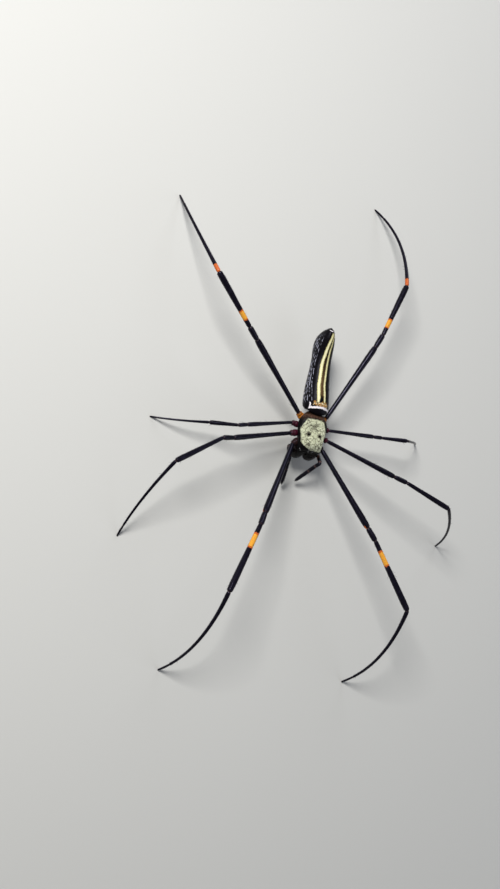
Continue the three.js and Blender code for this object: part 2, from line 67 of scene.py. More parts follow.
def aim_camera():
    turn = Matrix.Rotation(CAMERA_TURN, 3, "Z")
    towards = turn @ Vector((-math.sin(CAMERA_LEAN), -math.sin(CAMERA_PITCH) * math.cos(CAMERA_LEAN),
                             math.cos(CAMERA_PITCH) * math.cos(CAMERA_LEAN))).normalized()
    right = (turn @ Vector((0, 1, 0))).cross(towards).normalized()
    up = towards.cross(right)
    beside = (BODY_PIXEL[0] - PHOTO_WIDTH / 2) / FOCAL_PIXELS
    above = -(BODY_PIXEL[1] - PHOTO_HEIGHT / 2) / FOCAL_PIXELS
    aim = FRONT_BODY + Vector((0, 0, BODY_AIM_HEIGHT))
    place = aim - (right * beside + up * above - towards) * CAMERA_DISTANCE
    camera = link_up(bpy.data.objects.new("camera", bpy.data.cameras.new("camera")))
    camera.matrix_world = Matrix.Translation(place * MM) @ Matrix((right, up, towards)).transposed().to_4x4()
    camera.data.sensor_width = SENSOR
    camera.data.lens = FOCAL_PIXELS * SENSOR / PHOTO_HEIGHT
    camera.data.clip_start = NEAREST_SEEN
    bpy.context.scene.camera = camera


def hang_lamp(name, place, size, power, colour):
    lamp = bpy.data.lights.new(name, "AREA")
    lamp.shape, lamp.size, lamp.energy, lamp.color = "DISK", size, power, colour
    holder = link_up(bpy.data.objects.new(name, lamp))
    holder.location = place
    holder.rotation_euler = Vector(place).to_track_quat("Z", "Y").to_euler()


aim_camera()
for name, lamp in LAMPS.items():
    hang_lamp(name, *lamp)

room = bpy.data.worlds.new("room")
room.use_nodes = True
room_light = room.node_tree.nodes["Background"].inputs
room_light["Color"].default_value = ROOM_COLOUR
room_light["Strength"].default_value = ROOM_STRENGTH
bpy.context.scene.world = room
bpy.context.scene.view_settings.view_transform = "Standard"

floor_mesh = bpy.data.meshes.new("floor")
floor_mesh.from_pydata([(x * FLOOR_HALF, y * FLOOR_HALF, 0) for x, y in ((-1, -1), (1, -1), (1, 1), (-1, 1))],
                       [], [(0, 1, 2, 3)])
floor = link_up(bpy.data.objects.new("floor", floor_mesh))
floor_paint = bpy.data.materials.new("pale_floor")
floor_paint.use_nodes = True
paint = floor_paint.node_tree.nodes["Principled BSDF"].inputs
paint["Base Color"].default_value = FLOOR_COLOUR
paint["Roughness"].default_value = FLOOR_ROUGHNESS
floor_mesh.materials.append(floor_paint)

# The carapace is one arched plate of dark shell over the front body: the head in front, with the
# eyes on its brow, a groove behind it on each side, and the pit where the stomach's muscles hold.
# It is lofted through its stations, and its grooves are pressed into it by formulas.
HIP_HEIGHT = 9.5
BODY_ROLL = math.radians(8)
body_place = (Matrix.Translation(FRONT_BODY + Vector((0, 0, HIP_HEIGHT)))
              @ Matrix.Rotation(-BODY_ROLL, 4, "Y") @ Matrix.Translation((0, 0, -HIP_HEIGHT)))
MARGIN_HEIGHT = 10.8
RIM_DROP = 0.5
# along the body, half width, height of the crown over the margin
CARAPACE_STATIONS = [
    (-7.4, 3.3, 0.9), (-7.2, 3.75, 1.6), (-6.8, 4.05, 2.35), (-6.2, 4.15, 2.95), (-5.3, 4.2, 3.5),
    (-4.2, 4.3, 3.75), (-3.1, 4.4, 3.7), (-2.2, 4.55, 3.4), (-1.2, 4.85, 3.05), (-0.1, 5.05, 2.75),
    (1.1, 5.15, 2.75), (2.3, 5.0, 2.8), (3.4, 4.55, 2.6), (4.4, 3.85, 2.1), (5.3, 3.0, 1.45),
    (5.9, 2.1, 0.85), (6.1, 1.5, 0.45),
]
BACK_COLUMNS, RIM_COLUMNS = 96, 32
# rows, the sizes that the nose closes through, and how far it stands out in front and behind
CARAPACE_NOSE = (150, (0.25, 0.5, 0.72, 0.88, 0.97), 0.32, 0.128)
CROWN_POWER = 0.85
CARAPACE_INSET = 0.16
FOVEA = {"along": 0.4, "half_width": 1.3, "length": 0.9, "depth": 0.5}
# each groove of one side: where it starts and ends across and along, its depth and its half width
GROOVES = {
    "neck": ((0.7, -0.1), (4.2, -3.0), 0.30, 0.34),
    "second_leg": ((0.9, 0.0), (5.0, -0.9), 0.13, 0.26),
    "third_leg": ((0.9, 0.8), (5.0, 1.6), 0.13, 0.26),
    "fourth_leg": ((0.6, 1.3), (3.6, 4.0), 0.15, 0.28),
}
GROOVE_FALL = 0.55
LIP_AT, LIP_WIDTH, LIP_HEIGHT = 0.16, 0.1, 0.10
# the pale patch: how far forward it reaches in the middle and how its front edge falls back aside
PATCH_FRONT, PATCH_FALL, PATCH_REAR, PATCH_MARGIN = -6.95, 0.12, 3.1, 0.35
DARK_SPOT, DARK_SPOT_WIDTH = (-0.35, -1.75), math.sqrt(0.07)
MAP_MARGIN = 0.02
HORNS = {"apart": 3.8, "along": -2.1, "radius": 0.42, "height": 1.0625, "tilt": math.radians(14)}
HORN_HALF_WIDTH = 4.6
HORN_SHADE = 0.72


def on_body(points):
    """Points given from the floor under the front body, once the body is rolled."""
    return turned_with_body(points) + np.array(body_place.translation)


def turned_with_body(ways):
    return np.asarray(ways, float) @ np.array(body_place.to_3x3()).T


def through(stops, at):
    """Smooth curves through stops, whose first number is the place and whose others are values."""
    stops = np.array(stops, float)
    place, values = stops[:, 0], stops[:, 1:]
    slope = np.gradient(values, place, axis=0)
    at = np.clip(np.asarray(at, float), place[0], place[-1])
    k = np.clip(np.searchsorted(place, at, side="right") - 1, 0, len(place) - 2)
    width = (place[k + 1] - place[k])[:, None]
    t = (at - place[k])[:, None] / width
    return ((2 * t**3 - 3 * t**2 + 1) * values[k] + (t**3 - 2 * t**2 + t) * width * slope[k]
            + (3 * t**2 - 2 * t**3) * values[k + 1] + (t**3 - t**2) * width * slope[k + 1])


def ease(low, high, values):
    t = np.clip((np.asarray(values, float) - low) / (high - low), 0, 1)
    return t * t * (3 - 2 * t)


def bell(off, width):
    """One in the middle of a swelling or hollow, and fading to nothing round it."""
    return np.exp(-((off / width) ** 2))


def rejoined(grid):
    """A grid of rows that go once round, with each row's first place again at its end."""
    return np.concatenate([grid, grid[:, :1]], 1)


def nosed(stations, count, nose, front, rear):
    """Columns of place, size and profile along the stations, with a short round nose at both ends."""
    nose = np.array(nose)
    bulge = np.sqrt(1 - nose**2)
    along = np.linspace(stations[0][0], stations[-1][0], count)
    profile = np.pad(through(stations, along), ((len(nose), len(nose)), (0, 0)), "edge")
    place = np.concatenate([along[0] - front * bulge, along, along[-1] + rear * bulge[::-1]])
    size = np.concatenate([nose, np.ones(count), nose[::-1]])
    return [column[:, None] for column in (place, size, *profile.T)]


def closed_skin(name, rows, flat, **facts):
    """A closed skin over rows of points, each row once round, with its poles closed.
    flat holds, for every row and one column more, the two numbers of its map in millimetres. The facts
    are numbers, or for lie directions, one for each point, each row or the whole skin."""
    count, around = rows.shape[:2]
    wide = around + 1
    points = np.concatenate([rows.reshape(-1, 3), [rows[0].mean(0), rows[-1].mean(0)]])
    row, column = (grid.ravel() for grid in np.mgrid[:count - 1, :around])
    here, beside = row * around + column, row * around + (column + 1) % around
    quads = np.stack([here, beside, beside + around, here + around], 1)
    corner = row * wide + column
    quad_corners = np.stack([corner, corner + 1, corner + 1 + wide, corner + wide], 1)
    turn = np.arange(around)
    after = (turn + 1) % around
    pole, last = np.full(around, count * around), (count - 1) * around
    caps = np.concatenate([np.stack([pole, after, turn], 1),
                           np.stack([pole + 1, last + turn, last + after], 1)])
    cap_corners = np.concatenate([np.stack([turn, turn + 1, turn], 1),
                                  np.stack([turn, turn, turn + 1], 1) + (count - 1) * wide])
    ends = points[quads]
    if np.einsum("ij,ij->i", ends[:, 0], np.cross(ends[:, 1], ends[:, 2])).sum() < 0:
        quads, quad_corners = quads[:, ::-1], quad_corners[:, ::-1]
        caps, cap_corners = caps[:, ::-1], cap_corners[:, ::-1]
    mesh = bpy.data.meshes.new(name)
    mesh.from_pydata((points * MM).tolist(), [], quads.tolist() + caps.tolist())
    corners = np.concatenate([quad_corners.ravel(), cap_corners.ravel()])
    own = np.meshgrid(*(np.linspace(MAP_MARGIN, 1 - MAP_MARGIN, steps) for steps in (wide, count)))
    for map_name, grid in (("Flat", flat), ("Root", np.stack(own, -1))):
        layer = mesh.uv_layers.new(name=map_name)
        layer.data.foreach_set("uv", grid.reshape(-1, 2)[corners].astype(np.float32).ravel())
    for fact, grid in facts.items():
        kind, field, parts = ("FLOAT_VECTOR", "vector", 3) if fact == "lie" else ("FLOAT", "value", 1)
        grid = np.asarray(grid, np.float32)
        grid = grid.reshape(-1, around if grid.size == count * around * parts else 1, parts)
        grid = np.broadcast_to(grid, (count, around, parts))
        grid = np.concatenate([grid.reshape(-1, parts), [grid[0].mean(0), grid[-1].mean(0)]])
        mesh.attributes.new(fact, kind, "POINT").data.foreach_set(field, grid.ravel())
    mesh.shade_smooth()
    return link_up(bpy.data.objects.new(name, mesh))


def groove_depths(across, along):
    """How deep the carapace is pressed in at each place, in millimetres."""
    depth = (FOVEA["depth"] * bell(across, FOVEA["half_width"])
             * bell(along - FOVEA["along"], FOVEA["length"]))
    for start, end, deep, half_width in GROOVES.values():
        way = np.subtract(end, start)
        place = np.stack([np.abs(across), along], -1) - start
        share = np.clip(place @ way / (way @ way), 0, 1)
        off = np.linalg.norm(place - share[..., None] * way, axis=-1)
        depth = depth + deep * bell(off, half_width) * (1 - GROOVE_FALL * share)
    return depth


def carapace_rows():
    along, size, half_width, crown = nosed(CARAPACE_STATIONS, *CARAPACE_NOSE)
    turn = np.concatenate([np.linspace(0, math.pi, BACK_COLUMNS, endpoint=False),
                           np.linspace(math.pi, 2 * math.pi, RIM_COLUMNS, endpoint=False)])
    lift = np.sin(turn)
    arched = np.clip(lift, 0, 1)
    across = np.cos(turn) * (half_width - CARAPACE_INSET) * size
    along = np.broadcast_to(along, across.shape)
    arch = (crown - CARAPACE_INSET) * arched**CROWN_POWER * size - groove_depths(across, along) * arched
    under = (RIM_DROP - CARAPACE_INSET) * np.clip(lift, -1, 0) * size
    # a narrow raised lip runs round the margin
    lip = LIP_HEIGHT * bell(lift - LIP_AT, LIP_WIDTH) * (lift > 0)
    return across * (1 + lip * 0.25), along, MARGIN_HEIGHT + np.where(lift > 0, arch + lip * 0.5, under), lift


def carapace_skin():
    across, along, height, lift = carapace_rows()
    half_width = np.abs(across).max(1, keepdims=True)
    front = PATCH_FRONT + PATCH_FALL * np.minimum(across - 0.5, 0) ** 2
    margin = PATCH_MARGIN + 1.5 * ease(-1.5, 3.2, along)
    patch = (ease(-0.5, 0.5, along - front) * ease(PATCH_REAR + 0.5, PATCH_REAR - 0.5, along)
             * ease(-0.4, 0.5, half_width - np.abs(across) - margin) * (lift > 0))
    # a painted shadow lies dark round each horn's foot, a small dark spot lies between the horns, and the
    # creases darken where the grooves are pressed in
    from_horn = np.hypot(np.abs(across) - HORNS["apart"] / 2, along - HORNS["along"]) / HORN_SHADE
    between = bell(np.hypot(across - DARK_SPOT[0], along - DARK_SPOT[1]), DARK_SPOT_WIDTH)
    crease = 0.6 * groove_depths(across, along) + 0.9 * np.exp(-(from_horn**3)) + 0.3 * between
    lie = np.stack([across * 0.08, np.ones_like(across), -0.15 * np.abs(across)], -1)
    flat = np.stack([rejoined(across), rejoined(along)], -1)
    return closed_skin("carapace_skin", on_body(np.stack([across, along, height], -1)), flat,
                       coat=patch, crease=crease, lie=turned_with_body(lie))


def put(tree, kind, inputs=None, **settings):
    """The outputs of a new node. An input is a number, a colour, a tone, or a socket to join to it."""
    node = tree.nodes.new(kind)
    for setting, value in settings.items():
        setattr(node, setting, value)
    for key, value in (inputs or {}).items():
        value = getattr(value, "socket", value)
        if isinstance(value, bpy.types.NodeSocket):
            tree.links.new(value, node.inputs[key])
        else:
            node.inputs[key].default_value = value
    return node.outputs


class Tone:
    """A number that changes over a surface. A sum with it adds a Math node to its tree."""

    def __init__(self, tree, socket):
        self.tree, self.socket = tree, socket

    def math(self, operation, *others):
        inputs = dict(enumerate((self.socket,) + others))
        return Tone(self.tree, put(self.tree, "ShaderNodeMath", inputs, operation=operation)[0])

    def __add__(self, other):
        return self.math("ADD", other)

    def __sub__(self, other):
        return self.math("SUBTRACT", other)

    def __mul__(self, other):
        return self.math("MULTIPLY", other)

    def __truediv__(self, other):
        return self.math("DIVIDE", other)

    def __abs__(self):
        return self.math("ABSOLUTE")

    def within(self, low, high):
        """One between low and high, and nothing outside them."""
        return self.math("GREATER_THAN", low) * self.math("LESS_THAN", high)

    def either(self, other):
        return self.math("MAXIMUM", other)

    def sway(self, amount):
        """Noise moved to swing about nothing, by the amount in all."""
        return (self - 0.5) * amount

    def fade(self, off, on):
        """Nothing at off and one at on, with a soft change between them."""
        inputs = {0: self, 1: off, 2: on}
        faded = put(self.tree, "ShaderNodeMapRange", inputs, interpolation_type="SMOOTHSTEP")
        return Tone(self.tree, faded[0])


class Finish:
    """A procedural material, with the places on the piece that its marks are measured from."""

    def __init__(self, name):
        self.material = bpy.data.materials.new(name)
        self.material.use_nodes = True
        self.tree = self.material.node_tree
        self.shader = self.tree.nodes["Principled BSDF"]
        self.place = put(self.tree, "ShaderNodeTexCoord")["Object"]
        self.flat = put(self.tree, "ShaderNodeUVMap", uv_map="Flat")[0]
        parts = self.make("SeparateXYZ", {0: self.flat})
        self.across, self.along = Tone(self.tree, parts[0]), Tone(self.tree, parts[1])

    def make(self, kind, inputs, **settings):
        return put(self.tree, "ShaderNode" + kind, inputs, **settings)

    def fact(self, name):
        return Tone(self.tree, self.make("Attribute", {}, attribute_name=name)["Fac"])

    def grain(self, size, detail=2.0, stretch=None):
        """Soft noise from 0 to 1, with lumps of the size in millimetres; stretch lays it on the flat map."""
        vector, scale = self.place, 1 / (size * MM)
        if stretch:
            vector = self.make("VectorMath", {0: self.flat, 1: stretch}, operation="MULTIPLY")[0]
            scale = 1 / size
        inputs = {"Vector": vector, "Scale": scale, "Detail": detail}
        return Tone(self.tree, self.make("TexNoise", inputs)[0])

    def cracks(self, size, warp):
        """The distance to the nearest of many wandering cracks, as a share of the size in millimetres."""
        scale = 1 / (size * MM)
        bent = self.make("TexNoise", {"Vector": self.place, "Scale": scale, "Detail": 3.0})["Color"]
        away = self.make("VectorMath", {0: bent, 1: (-0.5, -0.5, -0.5)}, operation="ADD")[0]
        away = self.make("VectorMath", {0: away, "Scale": warp * MM}, operation="SCALE")[0]
        vector = self.make("VectorMath", {0: self.place, 1: away}, operation="ADD")[0]
        edges = self.make("TexVoronoi", {"Vector": vector, "Scale": scale}, feature="DISTANCE_TO_EDGE")
        return Tone(self.tree, edges["Distance"])

    def cells(self, size):
        inputs = {"Vector": self.place, "Scale": 1 / (size * MM)}
        return Tone(self.tree, self.make("TexVoronoi", inputs)["Distance"])

    def colour(self, ground, *layers):
        """The ground colour, with each layer's colour laid over it where its mask is one."""
        for mask, over in layers:
            ground = self.make("Mix", {0: mask, 6: ground, 7: over}, data_type="RGBA")[2]
        self.tree.links.new(ground, self.shader.inputs["Base Color"])

    def relief(self, *heights):
        """Fine bumps: tones, each with the height in millimetres that it stands for."""
        first, *others = (tone * (height * MM) for tone, height in heights)
        bump = self.make("Bump", {"Height": sum(others, first), "Distance": 1.0, "Strength": 1.0})
        self.tree.links.new(bump[0], self.shader.inputs["Normal"])

    def set(self, **values):
        for key, value in values.items():
            socket = self.shader.inputs[key.replace("_", " ")]
            if isinstance(value, Tone):
                self.tree.links.new(value.socket, socket)
            else:
                socket.default_value = value
        return self.material


PATCH_CREAM = (0.47, 0.49, 0.35)
# a painted highlight on the palest tufts of the patch's hair
PATCH_PAINTED_HIGHLIGHT = (0.70, 0.71, 0.57, 1)
PATCH_GREY = (0.24, 0.25, 0.17, 1)
# the colour of the creases, and of the painted shadow round the horns' feet
CREASE_AND_SHADE_BROWN = (0.035, 0.026, 0.016, 1)
SHELL_BLACK = (0.003, 0.0025, 0.003, 1)
REAR_BROWN = (0.020, 0.011, 0.007, 1)
REAR_TAN = (0.10, 0.052, 0.036, 1)


def carapace_colour(finish, light=1.0):
    """The pale patch on the dark shell; light makes its cream paler."""
    ragged = finish.grain(0.55, 3.0)
    patch = (finish.fact("coat") + ragged.sway(1.1)).fade(0.35, 0.62)
    mottle = finish.grain(0.8, 3.0)
    fine = finish.grain(0.22, 2.0)
    # thin wandering creases part the hair
    wrinkle = finish.cracks(1.4, 1.3).fade(0.09, 0.02)
    broken = (mottle + fine * 0.6).fade(0.62, 0.82)
    # the creases fact darkens the patch in the grooves, and holds the painted shadow round the horns' feet
    pressed_and_horn_shade = (finish.fact("crease") * 1.7 + mottle.sway(2.0) + fine.sway(1.6)).fade(0.34, 0.66)
    crease = pressed_and_horn_shade.either(wrinkle * broken)
    cream = tuple(min(1.0, c * light) for c in PATCH_CREAM) + (1,)
    # a rim of tan hair lies across the rear slope
    rim = (finish.along + mottle.sway(1.2)).within(3.7, 4.7) * fine.fade(0.4, 0.6)
    tufts = fine * 0.55 + finish.grain(0.5, 3.0) * 0.45
    # the palest tufts of the patch are given a painted highlight on the hair
    finish.colour(
        SHELL_BLACK,
        (finish.along.fade(2.2, 3.4), REAR_BROWN), (rim * tufts.fade(0.44, 0.54), REAR_TAN),
        (patch, cream), (patch * tufts.fade(0.47, 0.36), PATCH_GREY),
        (patch * tufts.fade(0.53, 0.64), PATCH_PAINTED_HIGHLIGHT), (crease * patch * 0.9, CREASE_AND_SHADE_BROWN),
    )
    return patch


def carapace_finish():
    finish = Finish("carapace_shell")
    patch = carapace_colour(finish)
    finish.relief((finish.grain(0.09, 3.0), 0.025), (finish.grain(0.4, 2.0), 0.05))
    return finish.set(Roughness=patch * 0.4 + finish.grain(0.3) * 0.2 + 0.25, Specular_IOR_Level=0.06)


def dress(piece, material, slot, *nodes):
    if material:
        piece.data.materials.append(material)
    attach(piece, "root")
    if nodes:
        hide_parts(*nodes)


carapace = carapace_skin()
dress(carapace, carapace_finish(), "carapace_coat", "carapace")

# A short coat of flat, pale hair covers the carapace's middle, and sparser bristles the other skins.
# The hairs grow out of sockets in the shell. Each is a curved cone that leans the way its skin says.
COAT_PATCH = 0.003
UNEVEN = 0.35
HAIR_CURL = -0.22
HAIR_SUNK = -0.8
SHORTEST, LONGEST = 0.65, 1.2
HAIR_AMOUNTS = {
    "Hairs per mm2": 10.0, "Hair length mm": 0.4, "Hair radius mm": 0.02, "Hair lean": 1.1,
    "Spines per mm2": 0.0, "Spine length mm": 1.4, "Spine radius mm": 0.06, "Spine lean": 0.8,
}


def hair_tree():
    tree = bpy.data.node_groups.new("lying_hair", "GeometryNodeTree")

    def take(name, kind, value=None, way="INPUT"):
        socket = tree.interface.new_socket(name=name, in_out=way, socket_type="NodeSocket" + kind)
        if value is not None:
            socket.default_value = value

    take("Geometry", "Geometry", way="OUTPUT")
    take("Geometry", "Geometry")
    for name, value in HAIR_AMOUNTS.items():
        take(name, "Float", value)
    take("Seed", "Int", 1)
    take("Material", "Material")
    given = tree.nodes.new("NodeGroupInput").outputs

    def make(kind, inputs=None, **settings):
        return put(tree, kind, inputs, **settings)

    def vector_sum(operation, *values):
        return make("ShaderNodeVectorMath", dict(enumerate(values)), operation=operation)[0]

    def scaled(vector, factor):
        return make("ShaderNodeVectorMath", {0: vector, "Scale": factor}, operation="SCALE")[0]

    def named(name, kind="FLOAT_VECTOR"):
        return make("GeometryNodeInputNamedAttribute", {"Name": name}, data_type=kind)[0]

    def stored(geometry, name, value):
        return make("GeometryNodeStoreNamedAttribute", {0: geometry, "Name": name, "Value": value},
                    data_type="FLOAT2", domain="CORNER")[0]

    def stand(kind, shift):
        """One kind of hair stood all over the skin."""
        length, radius = (Tone(tree, given[kind + word]) * MM for word in (" length mm", " radius mm"))
        lean, seed = Tone(tree, given[kind + " lean"]), Tone(tree, given["Seed"])
        cone = make("GeometryNodeMeshCone", {"Vertices": 3, "Side Segments": 3, "Radius Top": 0.0,
                                             "Radius Bottom": radius, "Depth": length})
        place = make("ShaderNodeSeparateXYZ", {0: make("GeometryNodeInputPosition")[0]})
        share = Tone(tree, place[2]) / length
        curl = make("ShaderNodeCombineXYZ", {0: share * share * length * HAIR_CURL})[0]
        hair = make("GeometryNodeSetPosition", {"Geometry": stored(cone["Mesh"], "hair_map", cone["UV Map"]),
                                                "Offset": curl})[0]
        many = Tone(tree, given[kind + "s per mm2"]) * (1 / MM**2) * named("coat", "FLOAT")
        spread = make("GeometryNodeDistributePointsOnFaces",
                      {"Mesh": given["Geometry"], "Density": many, "Seed": seed + shift})
        normal = spread["Normal"]
        up = scaled(normal, lean.math("COSINE"))
        flat = scaled(vector_sum("NORMALIZE", named("lie")), lean.math("SINE"))
        stray = make("FunctionNodeRandomValue", {"Min": (-UNEVEN,) * 3, "Max": (UNEVEN,) * 3,
                                                 "Seed": seed + (shift + 7)}, data_type="FLOAT_VECTOR")[0]
        way = vector_sum("ADD", vector_sum("ADD", up, flat), stray)
        turn = make("FunctionNodeAlignRotationToVector", {"Vector": way}, axis="Z")[0]
        turn = make("FunctionNodeAlignRotationToVector", {"Rotation": turn, "Vector": normal},
                    axis="X", pivot_axis="Z")[0]
        size = make("FunctionNodeRandomValue", {2: SHORTEST, 3: LONGEST, "Seed": seed + (shift + 9)},
                    data_type="FLOAT")[1]
        sunk = make("GeometryNodeSetPosition",
                    {"Geometry": spread["Points"], "Offset": scaled(normal, radius * HAIR_SUNK)})[0]
        return make("GeometryNodeInstanceOnPoints",
                    {"Points": sunk, "Instance": hair, "Rotation": turn, "Scale": size})[0]

    joined = tree.nodes.new("GeometryNodeJoinGeometry")
    for kind, shift in (("Hair", 0), ("Spine", 20)):
        tree.links.new(stand(kind, shift), joined.inputs[0])
    real = make("GeometryNodeRealizeInstances", {0: joined.outputs[0]})[0]
    about = scaled(vector_sum("SUBTRACT", named("hair_map"), (0.5, 0.5, 0.0)), COAT_PATCH)
    clean = stored(stored(real, "Flat", named("Flat")), "OFBake", vector_sum("ADD", named("Root"), about))
    for spare in ("Root", "hair_map", "lie"):
        clean = make("GeometryNodeRemoveAttribute", {0: clean, "Name": spare})[0]
    done = make("GeometryNodeSetMaterial", {"Geometry": clean, "Material": given["Material"]})[0]
    make("NodeGroupOutput", {0: done})
    return tree


lying_hair = hair_tree()


def grow_coat(name, skin, material, slot, **amounts):
    """The hair of one skin as a plain mesh of its own."""
    coat = link_up(bpy.data.objects.new(name, skin.data))
    growth = coat.modifiers.new("growth", "NODES")
    growth.node_group = lying_hair
    wanted = {key.replace("_", " "): value for key, value in amounts.items()}
    wanted["Material"] = material
    for item in lying_hair.interface.items_tree:
        if item.in_out == "INPUT" and item.name in wanted:
            growth[item.identifier] = wanted[item.name]
    seen = bpy.context.evaluated_depsgraph_get()
    mesh = bpy.data.meshes.new_from_object(coat.evaluated_get(seen), preserve_all_data_layers=True,
                                           depsgraph=seen)
    coat.modifiers.clear()
    coat.data = mesh
    mesh.name = name
    dress(coat, None, slot)


def carapace_hair_finish():
    finish = Finish("carapace_hair")
    carapace_colour(finish, light=1.25)
    finish.relief((finish.grain(0.05), 0.004))
    return finish.set(Roughness=0.6, Specular_IOR_Level=0.35, Sheen_Weight=0.25, Sheen_Roughness=0.4)


grow_coat("carapace_coat", carapace, carapace_hair_finish(), "carapace_coat", Hairs_per_mm2=85.0,
          Hair_length_mm=0.42, Hair_radius_mm=0.026, Hair_lean=1.2, Seed=3)

# Under the carapace a barrel of tough brown skin, folded between the leg roots, joins the plate to
# the breastplate. The legs, the jaws and the waist come out of it.
BARREL = {"half_width": 2.05, "half_length": 4.5, "bottom": 7.35, "top": 11.0}
BARREL_ROWS, BARREL_COLUMNS, BARREL_CLOSING = 44, 120, 0.3
FOLD_DEPTH, FOLDS_UP, FOLDS_ROUND = 0.018, 9.0, 8


def once_round(count):
    return np.linspace(0, 2 * math.pi, count, endpoint=False)


def barrel_skin():
    height = np.linspace(BARREL["bottom"], BARREL["top"], BARREL_ROWS)
    turn = once_round(BARREL_COLUMNS)
    closing = 1 - np.clip((height - BARREL["bottom"]) / BARREL_CLOSING, 0, 1)
    closing = np.sqrt(1 - closing**2) * 0.2 + 0.8
    folds = FOLD_DEPTH * np.sin(height * FOLDS_UP)[:, None] * np.sin(turn * FOLDS_ROUND)
    size = closing[:, None] * (1 + folds)
    rows = np.stack([BARREL["half_width"] * np.cos(turn) * size, BARREL["half_length"] * np.sin(turn) * size,
                     np.broadcast_to(height[:, None], size.shape)], -1)
    around = np.linspace(0, 2 * math.pi, BARREL_COLUMNS + 1) * BARREL["half_length"]
    return closed_skin("underbody_skin", on_body(rows), np.stack(np.meshgrid(around, height), -1))


def soft_skin_finish():
    finish = Finish("joint_skin")
    mottle = finish.grain(0.6, 3.0)
    finish.colour((0.035, 0.016, 0.011, 1), (mottle.fade(0.4, 0.7), (0.11, 0.04, 0.02, 1)))
    finish.relief((finish.grain(0.12, 3.0), 0.05), (finish.cells(0.08), 0.02))
    return finish.set(Roughness=mottle * 0.25 + 0.35, Specular_IOR_Level=0.2)


joint_skin = soft_skin_finish()
dress(barrel_skin(), joint_skin, "hip_skin", "carapace")

# Two horns stand on the carapace behind the head: smooth black cones of solid shell, grown in one
# with the plate, bare of hair to their tips.
SIDES = {"right": -1, "left": 1}
HORN_ROOT, HORN_ROWS = 0.3, 14


def unit(ways):
    return ways / np.linalg.norm(ways, axis=-1, keepdims=True)


def ring_points(centre, way, side_way, radius, count):
    """A ring across the way that it runs, started from a side."""
    way = unit(way)
    side = unit(side_way - way * (side_way @ way))
    turn = once_round(count)[:, None]
    return centre + radius * (np.cos(turn) * side + np.sin(turn) * np.cross(side, way))


def spike_rows(path, radii, side_way=(1.0, 0.0, 0.0), count=16):
    path, side_way = np.asarray(path, float), np.asarray(side_way, float)
    ways = np.gradient(path, axis=0)
    return np.array([ring_points(p, w, side_way, r, count) for p, w, r in zip(path, ways, radii)])


def lengths_along(points):
    """How far along a line through points each of them lies."""
    return np.concatenate([[0], np.cumsum(np.linalg.norm(np.diff(points, axis=0), axis=1))])


def measured(rows):
    """The flat map of a spike or tube: millimetres round it and millimetres along it."""
    middle = rows.mean(1)
    along = lengths_along(middle)
    radius = np.linalg.norm(rows - middle[:, None], axis=2).mean(1)
    around = np.linspace(-math.pi, math.pi, rows.shape[1] + 1)
    return np.stack(np.broadcast_arrays(radius[:, None] * around, along[:, None]), -1)


def spike(name, path, radii, count=16, side_way=(1.0, 0.0, 0.0), **facts):
    """A closed round piece along a path."""
    rows = spike_rows(path, radii, side_way, count)
    return closed_skin(name, rows, measured(rows), **facts)


def bow(start, middle, end, count):
    t = np.linspace(0, 1, count)[:, None]
    start, middle, end = (np.asarray(p, float) for p in (start, middle, end))
    return start * (1 - t) ** 2 + 2 * middle * t * (1 - t) + end * t**2


def join_pieces(name, pieces):
    """Like pieces of one material as one object."""
    with bpy.context.temp_override(active_object=pieces[0], selected_editable_objects=pieces):
        bpy.ops.object.join()
    pieces[0].name = pieces[0].data.name = name
    return pieces[0]


def shell_finish(name, ground, light, roughness=0.12, tint=(1, 1, 1, 1), pores=0.16):
    finish = Finish(name)
    finish.colour(ground, (finish.grain(0.9, 3.0).fade(0.45, 0.75), light))
    finish.relief((finish.cells(pores), 0.004), (finish.grain(0.35, 2.0), 0.008))
    return finish.set(Roughness=finish.grain(0.25) * 0.2 + roughness, Specular_Tint=tint,
                      Specular_IOR_Level=0.06)


def horn(side):
    share = np.linspace(0, 1, HORN_ROWS)
    aside = side * HORNS["apart"] / 2
    crown = through(CARAPACE_STATIONS, [HORNS["along"]])[0][1]
    lift = math.sqrt(1 - (aside / HORN_HALF_WIDTH) ** 2)
    foot = np.array([aside, HORNS["along"], MARGIN_HEIGHT + crown * lift**CROWN_POWER])
    up = np.array([side * math.sin(HORNS["tilt"]), 0.0, math.cos(HORNS["tilt"])])
    path = foot + up * (HORNS["height"] * share - HORN_ROOT)[:, None]
    return spike("horn", on_body(path), HORNS["radius"] * (1.12 - 0.98 * share**0.9))


black_shell = shell_finish("black_shell", (0.003, 0.0025, 0.003, 1), (0.009, 0.005, 0.005, 1))
dress(join_pieces("horns", [horn(side) for side in SIDES.values()]), black_shell, "black_shell", "carapace")

# Eight eyes sit on the brow in two rows of four. Each is a clear bead of polished shell, held in a
# low black collar, and looks out square to the brow.
EYE_RADIUS = 0.3
# across, along and height over the carapace's margin, one side; the other side mirrors it
EYES = {
    "eye_front_middle": (0.62, -7.32, 1.35),
    "eye_rear_middle": (0.72, -6.98, 2.02),
    "eye_front_side": (3.15, -7.2, 0.85),
    "eye_rear_side": (3.6, -6.78, 1.25),
}
HEAD_MIDDLE = np.array([0.0, -5.2, 0.2])
# height along the way it looks, and radius
EYE_COLLAR = [(-0.24, 0.14), (-0.2, 0.24), (-0.06, 0.30), (0.04, 0.305), (0.08, 0.285), (0.07, 0.262)]
EYE_SIDE_WAY, EYE_PINHOLE = np.array([0.3, 0.2, 1.0]), 0.01
DOME_FROM, DOME_TO, DOME_ROWS = math.radians(30), math.radians(98), 12
EYE_COLUMNS = 20


def eye_finish():
    finish = Finish("eye_lens")
    finish.colour((0.006, 0.006, 0.008, 1), (finish.along.fade(0.16, 0.0), (0.03, 0.022, 0.016, 1)))
    finish.relief((finish.grain(0.08), 0.001))
    return finish.set(Roughness=finish.grain(0.2) * 0.05 + 0.03, Coat_Weight=1.0, Coat_Roughness=0.02)


